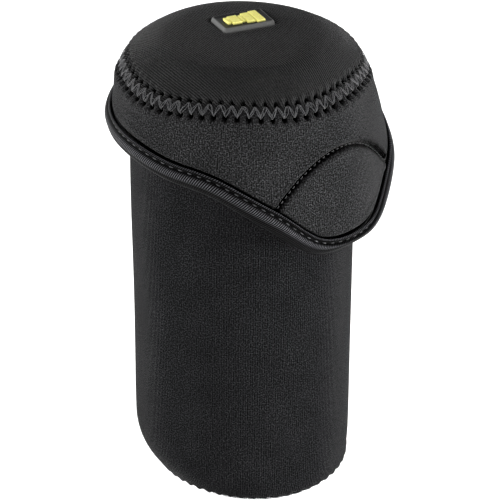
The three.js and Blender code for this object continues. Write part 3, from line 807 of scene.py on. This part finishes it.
def rimFrames(phi):
    # Lower edge of the rim, with the tape's outward normal, its way down and its height, and arc lengths. The
    # tape's upper line is the edge moved up by that height.
    r = rim["rearRadius"] + rim["tabFlare"] * shareAt(rim["flareShares"], phi)
    z = rim["rearHeight"] - rim["tabDrop"] * shareAt(rim["dropShares"], phi)
    lean = np.radians(rim["lean"]) * shareAt(rim["leanShares"], phi)
    edge = roundAbout(phi, r, z)
    along = unit(np.roll(edge, -1, 0) - np.roll(edge, 1, 0))
    radial = roundAbout(phi, 1, 0 * phi)
    fall = radial * np.sin(lean)[:, None] - np.array([0, 0, 1]) * np.cos(lean)[:, None]
    normal = unit(np.cross(along, fall))
    normal *= np.sign((normal * radial).sum(1))[:, None]
    down = unit(np.cross(normal, along))
    down *= np.sign(-down[:, 2])[:, None]
    height = rimBinding["height"] * shareAt(rim["tapeShares"], phi)
    step = np.linalg.norm(np.roll(edge, -1, 0) - edge, axis=1)
    return edge, normal, down, height, np.cumsum(step) - step, step.sum()


finePhi = around(4320)[:, 0]
rimEdge, _, rimDown, rimHeight, rimArc, rimLength = rimFrames(finePhi)
upperLine = rimEdge - rimDown * rimHeight[:, None]
upperPhi = np.arctan2(upperLine[:, 0], -upperLine[:, 1])


def upperLineAt(phi):
    # Radius and height of the wall's outer face at the tape's upper edge
    r = np.interp(phi, upperPhi, np.hypot(upperLine[:, 0], upperLine[:, 1]), period=turn)
    return r - lid["tuck"], np.interp(phi, upperPhi, upperLine[:, 2], period=turn)


def lidWander(phi, t):
    # The sewn seam wanders over the shoulder: wander cos(5 phi + wanderTurn), fading out over the top
    wave = np.cos(5 * phi + np.radians(lid["wanderTurn"]))
    return lid["wander"] * wave * ease((t + 25) / 20)


def skirtLength(phi):
    # Arc from the lid seam to the wall, arc down the wall, and the wall's two ends
    row = seamAngle + zigzag["row"] / lid["shoulder"]
    flare = np.minimum(shareAt(rim["flareShares"], phi), 1)
    lean = row + (np.pi / 2 - row) * (1 - lid["flareLift"] * flare)
    r0, z0 = shoulderPoint(phi, lean)
    r1, z1 = upperLineAt(phi)
    start = (lean - seamAngle) * lid["shoulder"] - lidWander(phi, 0)
    return start, np.hypot(r1 - r0, z1 - z0), (r0, z0), (r1, z1)


def wallRadius(r0, r1, s):
    # Down the wall the radius runs from r0 to r1 as s (1 + flareReach (1 - s))
    return r0 + (r1 - r0) * s * (1 + lid["flareReach"] * (1 - s))


def skirtRadius(phi, z):
    # Radius of the wall at height z
    _, _, (r0, z0), (r1, z1) = skirtLength(phi)
    return wallRadius(r0, r1, np.clip((z0 - z) / (z0 - z1), 0, 1))


def lidFace(phi, t):
    # Outer face of the lid, t mm down from its seam, or up over the top where t is negative
    start, wall, (r0, z0), (r1, z1) = skirtLength(phi)
    s = (t - start) / wall
    arc = np.minimum(t, start)
    r, z = shoulderPoint(phi, seamAngle + (arc + lidWander(phi, arc)) / lid["shoulder"])
    return np.where(s > 0, wallRadius(r0, r1, s), r), np.where(s > 0, z0 + (z1 - z0) * s, z)


lidStitches = np.round(turn * (lid["radius"] - lid["wall"]) / zigzag["pitch"])

# Half-moon line of stitches on the tab, over a patch inside it
halfMoon = {
    "top": lid["top"] - 34.9,
    "bow": 21.8,
    "halfAngle": 34,
    "turn": -2,
    "groove": 2.3,
    "width": 1.1,
    "puff": (0.55, 3, 1.9),  # height, distance from the line and width of the ridges beside it
    "line": (1.25, 2.6),  # half width of the painted shade along the line, at the tab's middle and at its right end
    "lineShade": 1.6,
    "patch": 1.5,  # thickness of the patch
    "gap": 0.5,
}


def moonArc(phi):
    # Height of the arc, its slope, and the share of the half angle
    a = (np.degrees(phi) - halfMoon["turn"]) / halfMoon["halfAngle"]
    slope = -2 * halfMoon["bow"] * a / (np.radians(halfMoon["halfAngle"]) * 65)
    return halfMoon["top"] - halfMoon["bow"] * a ** 2, slope, np.abs(a)


def makeLidTop():
    # The top from its middle out and down to the lid seam, and back under it
    phi = around(lid["columns"])
    flat = -seamAngle * lid["shoulder"] - (lid["radius"] - lid["shoulder"])
    t = np.concatenate([np.linspace(flat, -9, 80)[:-1], np.linspace(-9, -seamGap, 23)]) + 0 * phi
    r, z, nr, nz, relief, dark = seamedFace(lidFace, phi, t, lidStitches, zigzag["pucker"])
    # The badge's painted shadow on the cloth round its foot
    dimple, badgeShadow = badgeDimple(r * np.sin(phi), -r * np.cos(phi))
    calm = ease((-t - 3) / 10) * ease(r / 12)
    hub = flat + lid["hub"]
    full = simulatedSwell("lid top padding", lidFace, lambda a: (hub + 0 * a, 0 * a), 0, freeMiddle=True)
    relief = relief + lid["crown"] * readGrid(full, phi, (t - hub) / -hub)
    relief = relief + softWaves(phi, r, lid["topSwell"]) * calm * ease((r - 20) / 20)
    outerR, outerZ = r - nr * relief, z - nz * relief + dimple
    inner = t[:, ::-4].copy()
    inner[:, -1] = flat
    innerR, innerZ = besideFace(lidFace, phi, inner, -lid["wall"])
    innerR = np.maximum(innerR, 0)
    outerR[:, 0] = innerR[:, -1] = 0
    innerZ[:, -1] = lid["top"] - lid["wall"]
    reach = np.hstack([t, inner, inner[:, -1:]]) - flat
    reach = np.vstack([reach, reach[:1]])
    grain = np.radians(lid["grainTurn"])
    spin = np.append(phi[:, 0], phi[0, 0] + turn)[:, None]
    x, y = reach * np.sin(spin), -reach * np.cos(spin)
    uv = np.stack([y * np.cos(grain) - x * np.sin(grain), x * np.cos(grain) + y * np.sin(grain)], -1)
    points = carried(phi, (outerR, outerZ), (innerR, innerZ))
    return gridMesh("lid_top_cloth", points, uv, joinColumns=False, poles=True,
                    paintedShadeAndTone=np.hstack([np.clip(dark + badgeShadow, 0, 1), 0 * innerR]))


def makeLidSkirt():
    # The skirt from the lid seam down to the bound rim, and back up on the inside
    phi = around(lid["columns"])
    end = sum(skirtLength(phi)[:2])
    t = np.hstack([np.linspace(seamGap, 8, 20) + 0 * phi, 8 + (end - 8) * np.linspace(0, 1, 150)[1:]])
    r, z, nr, nz, relief, dark = seamedFace(lidFace, phi, t, lidStitches, zigzag["pucker"])
    arc, slope, share = moonArc(phi)
    gap = (z - arc) / np.sqrt(1 + slope ** 2)
    onMoon = (share < 1.02) * 1.0
    line = halfMoon["groove"] * bell(gap, halfMoon["width"])
    puff, puffAt, puffWidth = halfMoon["puff"]
    relief = relief + onMoon * (puff * bell(np.abs(gap) - puffAt, puffWidth) - line)
    tuck = 1 - ease((end - t) / (0.8 + 0.4 * (1 + np.cos(phi + 0.35))))
    relief = relief - lid["tuckDip"] * tuck + 0.3 * bell(end - t - 3.5, 1.6)
    calm = ease((t - 3) / 14) * ease((end - t - 1) / 8)

    def ends(a):
        return 0 * a, sum(skirtLength(a)[:2])

    puffed = readGrid(simulatedSwell("lid skirt padding", lidFace, ends, lid["press"]), phi, t / end)
    relief = relief + softWaves(phi, z, lid["swell"]) * calm + lid["plump"] * puffed
    # Painted shade along the half-moon stitch groove
    near, far = halfMoon["line"]
    width = near + (far - near) * ease(phi / np.radians(halfMoon["halfAngle"]))
    inLine = onMoon * bell(gap - 0.3 * (width - near), width)
    # The cloth is painted darker where it dips into the tape, as shade
    dark = np.clip(dark + halfMoon["lineShade"] * inLine + tuck ** 2, 0, 1)
    lean = np.radians(rim["lean"]) * shareAt(rim["leanShares"], phi)
    r1, z1 = upperLineAt(phi)
    drop, depth = np.array([0.4, 2.4, 2.4, 0.4]), np.array([1.3, 1.3, 3.0, 3.0])  # corners inside the tape
    edgeR = r1 + np.sin(lean) * drop - np.cos(lean) * depth
    edgeZ = z1 - np.cos(lean) * drop - np.sin(lean) * depth
    inner = np.hstack([t[:, :20:4], t[:, 20:-4:8]])[:, ::-1]
    points = carried(phi, (r - nr * relief, z - nz * relief), (edgeR, edgeZ),
                     besideFace(lidFace, phi, inner, -lid["wall"]))
    uv = shellUv(phi, lid["radius"], np.hstack([t, end + [1, 3, 6, 8], inner]))
    # The edge hidden inside the tape is painted fully dark, as shade
    return gridMesh("lid_skirt_cloth", points, uv, paintedShadeAndTone=np.hstack([dark, 0 * edgeR + 1, 0 * inner]))


# Badge on the lid
badge = {
    "length": 26,
    "width": 17.5,
    "corner": 2.4,
    "height": boxOf("badge_base")[1][2] - lid["top"],
    "taper": 0.9,  # how far the side leans in
    "rim": 0.45,  # width of the flat border
    "sink": 0.6,
    "x": 9.3,
    "y": 8.9,
    "turn": -22.7,
    "dimple": 0.6,
}


def badgeDimple(x, y):
    # The cloth sinks under the badge and swells a little round it, by distance to the badge's outline. A
    # painted shadow darkens the cloth round the badge's foot.
    a = np.radians(badge["turn"])
    dx, dy = x - badge["x"], y - badge["y"]
    u, v = dx * np.cos(a) + dy * np.sin(a), dy * np.cos(a) - dx * np.sin(a)
    du = np.maximum(np.abs(u) - badge["length"] / 2 + badge["corner"], 0)
    dv = np.maximum(np.abs(v) - badge["width"] / 2 + badge["corner"], 0)
    out = np.hypot(du, dv) - badge["corner"]
    height = 0.12 * bell(out - 3, 1.8) - badge["dimple"] * (1 - ease((out + 0.6) / 2.4))
    return height, 1.2 * bell(out - 0.3, 0.8)


def padMesh(name, middle, half, corner, least, rings, count):
    # Rounded rectangle at middle along the badge, in rings of (inset, height, darkness). half is half of its
    # length and width, and the corners' radius shrinks with the inset to least.
    inset, z, shade = np.array(rings).T
    a = ((np.arange(count) + 0.5) * turn / count)[:, None]
    bend = np.maximum(corner - inset, least)
    u = middle + np.sign(np.cos(a)) * np.maximum(half[0] - inset - bend, 0) + bend * np.cos(a)
    v = np.sign(np.sin(a)) * (half[1] - inset - bend) + bend * np.sin(a)
    u, v = (np.pad(part, ((0, 0), (1, 1)), constant_values=at) for part, at in ((u, middle), (v, 0)))
    z, shade = (np.pad(part, 1, "edge") + 0 * u for part in (z, shade))
    a = np.radians(badge["turn"])
    x = badge["x"] + u * np.cos(a) - v * np.sin(a)
    y = badge["y"] + u * np.sin(a) + v * np.cos(a)
    points = np.stack([x, y, z], -1)
    return gridMesh(name, points, flatUv(points), joinColumns=False, poles=True, paintedShadeAndTone=shade)


def makeBadge():
    # Sides that lean in, a rounded border and a sunken face
    b, side = badge, badge["taper"]
    bottom, top = lid["top"] + bendFall[-1] - b["dimple"] - 0.1, lid["top"] + b["height"]
    face, border = top - b["sink"], side + b["rim"]
    rings = [(0.4, bottom, 0), (0, bottom + 0.15, 0), (0, bottom + 0.6, 0), (0.15, bottom + 1.1, 0),
             (side - 0.25, top - 0.35, 0), (side, top - 0.1, 0), (side + 0.12, top, 0.2), (border, top, 0.9),
             (border + 0.2, face, 1), (3.4, face, 1), (5, face, 1), (6.5, face, 1)]
    return padMesh("badge_rubber", 0, (b["length"] / 2, b["width"] / 2), b["corner"], 0.05, rings, 160)


# Plain side view of a lens barrel. Each of its rings is a raised pad with rounded edges.
motif = {
    "length": 17.6,
    "height": 11.6,
    "rise": 1.2,
    "round": 0.25,
    "corner": 0.45,
    "rings": [  # start and end along the length and half height, as shares
        (0, 0.1, 0.52), (0.125, 0.395, 0.7), (0.42, 0.5, 0.56), (0.525, 0.745, 0.84), (0.77, 1, 1)],
}


def makeMotif():
    rise, bend = motif["rise"], motif["round"]
    base = lid["top"] + badge["height"] - badge["sink"] - 0.05
    steps = [(0, 0), (0, rise - bend), (bend * 0.3, rise - bend * 0.3), (bend, rise), (bend * 2, rise)]
    rings = [(inset, base + z, 0) for inset, z in steps]
    pads = []
    for start, end, share in motif["rings"]:
        low, high = (start - 0.5) * motif["length"], (end - 0.5) * motif["length"]
        half = (high - low) / 2, share * motif["height"] / 2
        pads.append(padMesh("badge_lens_motif", (low + high) / 2, half, motif["corner"], 0.04, rings, 48))
    with bpy.context.temp_override(active_object=pads[0], selected_editable_objects=pads):
        bpy.ops.object.join()
    return pads[0]


# Threads: a section of two lobes that turn once every twist mm. fade shapes the painted shade toward each
# stitch's ends.
thread = {"sides": 8, "twist": 2.2, "lobes": 0.16, "fade": 0.8}

# Rows of lockstitches: pitch, share of it that shows, thickness, lift off the line and depth of the ends
lockstitch = {
    "tape": (4.6, 0.5, 0.36, 0.12, 0.4),
    "hinge": (3, 0.72, 0.5, 0.05, 0.5),
    "moon": (2.7, 0.5, 0.3, 1.6, 0.5),
}


def threadTubes(name, path, normal, thick):
    # Separate stitches: path[k, i] is stitch k's centre line, and its ends close to points. Each stitch is
    # darkened toward its ends, as painted shade where it dives into the cloth.
    k, n = path.shape[:2]
    sides = thread["sides"]
    ahead = unit(np.gradient(path, axis=1))
    side = unit(np.cross(normal, ahead))
    up = np.cross(ahead, side)
    s = np.cumsum(np.linalg.norm(np.diff(path, axis=1, prepend=path[:, :1]), axis=2), axis=1)[..., None]
    a = np.arange(sides) * turn / sides
    arch = np.sin(np.linspace(0, np.pi, n))
    taper = np.clip(arch * 3, 0, 1)[None, :, None]
    radius = thick / 2 * (1 + thread["lobes"] * np.cos(2 * (a - turn * s / thread["twist"]))) * taper
    points = (path[:, :, None] + side[:, :, None] * (radius * np.cos(a))[..., None]
              + up[:, :, None] * (radius * np.sin(a))[..., None])
    i, j = np.meshgrid(np.arange(k * n), np.arange(sides), indexing="ij")
    keep = (i[:, 0] % n) < n - 1
    i, j = i[keep] * sides, j[keep]
    after = (j + 1) % sides
    quads = np.stack([i + j, i + sides + j, i + sides + after, i + after], -1).reshape(-1, 4)
    # Painted shade, darkest at the ends where a stitch dives into the cloth
    sunk = np.clip(1 - 1.15 * arch ** thread["fade"], 0, 1)
    uv = np.stack([np.repeat(s.reshape(-1), sides), np.tile(a * thick / 2, k * n)], -1)[quads.ravel()]
    return meshOf(name, points.reshape(-1, 3), quads, uv, np.repeat(np.tile(sunk, k), sides), weld=True,
                  outwards=True)


def legShape(count):
    # Legs of a zigzag, each of strands that bow apart and stray a little: the stitch, the distance across and
    # the height of every strand's points
    z = zigzag
    random = np.random.default_rng(11)
    k = np.repeat(np.arange(count), z["strands"])[:, None]
    strand = np.tile(np.linspace(-1, 1, z["strands"]), count)[:, None]
    s = np.linspace(0, 1, 15)
    stray = random.normal(0, z["stray"], (len(k), 3))
    aside = (strand * z["bow"] + stray[:, :1]) * np.sin(np.pi * s) + stray[:, 1:2] * np.sin(2 * np.pi * s)
    reach = z["row"] - 0.25
    t = (-reach + 2 * reach * s) * np.where(k % 2, -1, 1)
    height = z["thread"] / 2 + (z["lift"] + 0.3 * np.abs(stray[:, 2:])) * np.sin(np.pi * s)
    height = height - z["dive"] * (bell(s, 0.05) + bell(1 - s, 0.05))
    return k / 2 + s / 2 + aside / z["pitch"], t, height


def zigzagLegs(stitches, face):
    # Centre lines and normals of the legs, each from a hole in one row to the next hole in the other
    stitch, t, height = legShape(int(2 * stitches))
    phi = turn * stitch / stitches
    r, z = face(phi, t)
    ahead = 0.05
    r2, z2 = face(phi, t + ahead)
    nr, nz = (z2 - z) / ahead, -(r2 - r) / ahead
    sign = np.sign(nr[0, 7])
    path = roundAbout(phi, r + sign * nr * height, z + sign * nz * height)
    return path, unit(roundAbout(phi, sign * nr, sign * nz))


def runningStitches(name, line, normal, kind, closed=True):
    # Row of lockstitches along a line of points: each arches and dives at both ends
    pitch, share, thick, lift, dive = lockstitch[kind]
    if closed:
        line, normal = np.vstack([line, line[:1]]), np.vstack([normal, normal[:1]])
    s = np.append(0, np.cumsum(np.linalg.norm(np.diff(line, axis=0), axis=1)))
    count = int(round(s[-1] / pitch))
    u = np.linspace(0, 1, 11)
    at = (np.arange(count)[:, None] + 0.5 + share * (u - 0.5)) * s[-1] / count
    point, out = (np.stack([np.interp(at, s, part[:, k]) for k in range(3)], -1) for part in (line, normal))
    out = unit(out)
    height = lift + 0.3 * thick * np.sin(np.pi * u) - dive * (bell(u, 0.13) + bell(1 - u, 0.13))
    return threadTubes(name, point + out * height[:, None], out, thick)


def stripMesh(name, faceAt, along, across, thick, ribsAcross=False):
    # Flat strip: faceAt gives its outer face, and the inner face lies a thickness inside it. Both side edges
    # close to nothing.
    a = across[:, None]
    r, z = faceAt(a, along[None, :])
    nr, nz = profileNormal(r, z)
    half = thick / 2 * np.sqrt(np.clip(1 - np.abs(np.linspace(-1, 1, len(across)))[:, None] ** 24, 0, 1))
    sign = np.sign(nr[:, :1])
    midR, midZ = r - sign * nr * thick / 2, z - sign * nz * thick / 2
    radius = np.hstack([midR + sign * nr * half, (midR - sign * nr * half)[:, ::-1]])
    height = np.hstack([midZ + sign * nz * half, (midZ - sign * nz * half)[:, ::-1]])
    run = np.cumsum(np.hypot(*(np.diff(line, axis=1, prepend=line[:, :1]) for line in (r, z))), axis=1)
    arcs = np.hstack([run, run[:, ::-1], run[:, :1]])
    width = a * pouchBody["radius"]
    uv = np.stack(np.broadcast_arrays(*((arcs, width) if ribsAcross else (width, arcs))), -1)
    return gridMesh(name, roundAbout(a, radius, height), uv, joinRows=False, poles=True)


def makeRimBinding():
    # The tape, and the line and normals of its stitches
    count = int(rimLength / foldedTape["step"])
    s = np.arange(count) * rimLength / count
    phi = np.interp(s, np.append(rimArc, rimLength), np.append(finePhi, finePhi[0] + turn))
    edge, normal, down, height, _, _ = rimFrames(phi)
    outer = rimBinding["half"] + rimBinding["tape"]
    origin = edge - down * height[:, None] + normal * (rimBinding["proud"] - outer)
    strip = foldedTapeMesh("rim_tape", origin, normal, down, rimLength, height, rimBinding)
    return strip, origin + normal * (outer - foldedTape["furrow"]) + down * foldedTape["lip"], normal


def makeMouthStitches():
    phi = around(900)[:, 0]
    radius = mouthMiddle + mouthBinding["half"] + mouthBinding["tape"] - mouthBinding["sunk"]
    row = roundAbout(phi, radius, mouthFoot + foldedTape["lip"])
    return runningStitches("mouth_stitches", row, roundAbout(phi, 1, 0 * phi), "tape")


# Rear hinge: one strip of tape, sewn to the body below and to the lid above, that folds behind the bound rim
hinge = {
    "width": 44,
    "thick": 0.8,
    "foot": boxOf("hinge_tape_lower")[0][2],
    "fold": boxOf("hinge_tape_lower")[1][2],
    "bend": boxOf("hinge_tape_lower")[1][2] - 12.85,
    "bendLength": 17,
    "shoulder": lid["top"] - lid["shoulder"],
    "gap": 0.7,
    "inset": 3,
    "boxHeight": 12,
    "rowGap": 2.6,
}
hingeOnBody = pouchBody["radius"] + 0.3 + hinge["thick"]  # radius of the tape's outer face


def hingeFace(a, s):
    # Up the rear of the body, out over the fold and up the inside of the lid to the shoulder
    top, reach = hinge["shoulder"], lid["shoulder"] - lid["wall"] - hinge["gap"]
    onLid = lid["radius"] - lid["wall"] - hinge["gap"]
    r = hingeOnBody + (onLid - hingeOnBody) * ease((s - hinge["bend"]) / hinge["bendLength"])
    over = np.maximum(s - top, 0) / reach
    r = np.where(over > 0, lid["radius"] - lid["shoulder"] + reach * np.cos(over), r)
    return r + 0 * a, np.where(over > 0, top + reach * np.sin(over), s) + 0 * a


def makeHingeTape():
    side = hinge["width"] / 2 / pouchBody["radius"]
    across = np.pi + np.linspace(-side, side, 121)
    top = hinge["shoulder"]
    along = np.append(np.arange(hinge["foot"], top, 0.5), np.linspace(top, top + 4, 9))
    return stripMesh("hinge_tape_strip", hingeFace, along, across, hinge["thick"], ribsAcross=True)


def stitchBox(name, low, high, radiusAt):
    # Row of stitches round a rectangle on the rear
    side = (hinge["width"] / 2 - hinge["inset"]) / pouchBody["radius"]
    a = np.pi + np.linspace(-side, side, 60)
    phi = np.concatenate([a, a[::-1]])
    z = np.concatenate([0 * a + low, 0 * a + high])
    return runningStitches(name, roundAbout(phi, radiusAt(phi, z), z), roundAbout(phi, 1, 0 * phi), "hinge")


def makeBackZigzag():
    # Legs between the two rows of holes up the rear, at +-row from the butt seam
    stitch, t, height = legShape(int((backSeam["high"] - backSeam["low"]) / zigzag["pitch"] * 2))
    phi = np.pi + t / pouchBody["radius"]
    path = roundAbout(phi, pouchBody["radius"] + height, backSeam["low"] + stitch * zigzag["pitch"])
    return threadTubes("back_zigzag", path, roundAbout(phi, 1, 0 * phi), zigzag["thread"])


def moonPatchFace(a, s):
    # Inside face of the tab, from the binding (s = 0) to just past the half-moon arc (s = 1)
    z1 = upperLineAt(a)[1]
    z = z1 + (np.maximum(moonArc(a)[0], z1) + 1.5 - z1) * s
    return skirtRadius(a, z) - lid["wall"] - halfMoon["gap"], z


def moonAngles(reach, count):
    return np.radians(halfMoon["turn"] + halfMoon["halfAngle"] * np.linspace(-reach, reach, count))


def makeTabPatch():
    along, across = np.linspace(0, 1, 60), moonAngles(1, 121)
    return stripMesh("tab_patch_cloth", moonPatchFace, along, across, halfMoon["patch"])


def makeMoonStitches():
    # Along the arc, as far as it lies above the binding
    a = moonAngles(0.985, 600)
    arc = moonArc(a)[0]
    keep = arc > upperLineAt(a)[1] + 0.5
    a, arc = a[keep], arc[keep]
    line = roundAbout(a, skirtRadius(a, arc) - halfMoon["groove"], arc)
    return runningStitches("tab_moon_stitches", line, roundAbout(a, 1, 0 * a), "moon", closed=False)


bodyCloth = dress(makeBodyPanel(), bodyNeoprene, "neoprene", "body", "body_panel")
baseCloth = dress(makeBaseDisc(), bodyNeoprene, "neoprene", "body", "base_disc")
legs, legNormal = zigzagLegs(baseStitches, bodyFace)
legs[..., 2] = np.maximum(legs[..., 2], 0.4)  # clear of the ground
sew(threadTubes("base_zigzag", legs, legNormal, zigzag["thread"]), "body", "base_seam_thread")
sew(makeBackZigzag(), "body", "back_seam_thread")
dress(makeMouthBinding(), tape, "binding_tape", "body", "mouth_binding")
sew(makeMouthStitches(), "body", "mouth_binding_stitch")
hingeStrip = dress(makeHingeTape(), tape, "binding_tape", None, "hinge_tape_lower", "hinge_tape_upper")
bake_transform(hingeStrip)
lowRow, highRow = hinge["foot"] + hinge["inset"], hinge["shoulder"]
stitches = stitchBox("hinge_stitches_body", lowRow, lowRow + hinge["boxHeight"], lambda phi, z: hingeOnBody)
sew(stitches, "body", "hinge_stitch_lower")
stitches = stitchBox("hinge_stitches_lid", highRow - hinge["rowGap"], highRow, skirtRadius)
sew(stitches, "lid", "hinge_stitch_upper")

lidTop = dress(makeLidTop(), topNeoprene, "neoprene", "lid", "lid_top_disc")
lidSkirt = dress(makeLidSkirt(), skirtNeoprene, "neoprene", "lid", "lid_skirt")
legs, legNormal = zigzagLegs(lidStitches, lidFace)
sew(threadTubes("lid_zigzag", legs, legNormal, zigzag["thread"]), "lid", "lid_seam_thread")
rimStrip, rimRow, rimOut = makeRimBinding()
dress(rimStrip, tape, "binding_tape", "lid", "rim_binding")
sew(runningStitches("rim_stitches", rimRow, rimOut, "tape"), "lid", "rim_binding_stitch")
tabPatch = dress(makeTabPatch(), skirtNeoprene, "binding_tape", "lid", "tab_patch")
sew(makeMoonStitches(), "lid", "tab_patch_stitch")
dress(makeBadge(), blackRubber, "badge_rubber", "lid", "badge_base")
dress(makeMotif(), yellowRubber, "badge_yellow", "lid", "badge_motif")


# Studio: white paper that clips to white round the shadow, a small lamp low and near on the right, large ones
# on the left, in front and above, and two weak ones behind
studio = {
    "floor": 6,  # m across
    "aim": 0.11,  # height that the lamps point at
    "lamps": {  # place in m, right of, behind and over the pouch as the camera sees it; size in m; watts
        "key": ((0.62, -0.15, 0.13), 0.24, 6.6),
        "front": ((0, -1.2, 0.35), 0.6, 4.4),
        "left front": ((-1, -0.8, 0.3), 0.6, 12),
        "left": ((-1.25, 0.15, 0.4), 0.8, 15),
        "right": ((0.8, -0.6, 1), 0.8, 9),
        "top": ((-0.25, -0.5, 1.2), 0.8, 2.2),
        "rear left": ((-0.9, 0.9, 0.2), 0.4, 2),
        "rear right": ((0.9, 0.9, 0.2), 0.4, 2),
    },
    "ambient": 0.01,
    "paper": "#e9e9e9",
    "glow": 0.85,
}


def seenDirectly(add):
    # 1 for rays from the camera, off gloss or through glass, and 0 for those that light the object
    path = add("LightPath").outputs
    gloss = add("Math.MAXIMUM", {0: path["Is Camera Ray"], 1: path["Is Glossy Ray"]})
    return add("Math.MAXIMUM", {0: gloss, 1: path["Is Transmission Ray"]})


def whitePaper(add, values):
    # Matt paper whose own light doesn't fall on the object, so that it clips to white outside the shadow
    paper = add("BsdfPrincipled", {
        "Base Color": linear(values["paper"]), "Roughness": 0.9, "Specular IOR Level": 0.1})
    seen = add("Math.MULTIPLY", {0: seenDirectly(add), 1: values["glow"]})
    return add("AddShader", {0: paper, 1: add("Emission", {"Strength": seen})})


def makeStudio(values):
    half = values["floor"] / 2
    mesh = bpy.data.meshes.new("floor")
    corners = [(-half, -half, 0), (half, -half, 0), (half, half, 0), (-half, half, 0)]
    mesh.from_pydata(corners, [], [(0, 1, 2, 3)])
    floor = linked("floor", mesh)
    floor.data.materials.append(newMaterial("white paper sweep", whitePaper, values))
    for name, (place, size, watts) in values["lamps"].items():
        data = bpy.data.lights.new(name, "AREA")
        data.shape, data.size, data.energy = "DISK", size, watts
        place = Vector(place)
        aim = (Vector((0, 0, values["aim"])) - place).to_track_quat("-Z", "Y").to_matrix().to_4x4()
        linked(name, data).matrix_world = turned @ Matrix.Translation(place) @ aim
    world = bpy.data.worlds.new("studio")
    world.use_nodes = True
    tree = world.node_tree
    background = tree.nodes["Background"].inputs
    background["Color"].default_value = (1, 1, 1, 1)
    add = nodeAdder(tree)
    strength = add("Math.MAXIMUM", {0: seenDirectly(add), 1: values["ambient"]})
    tree.links.new(strength.outputs[0], background["Strength"])
    bpy.context.scene.world = world
    bpy.context.scene.view_settings.view_transform = "Standard"


makeStudio(studio)
print("studio made")
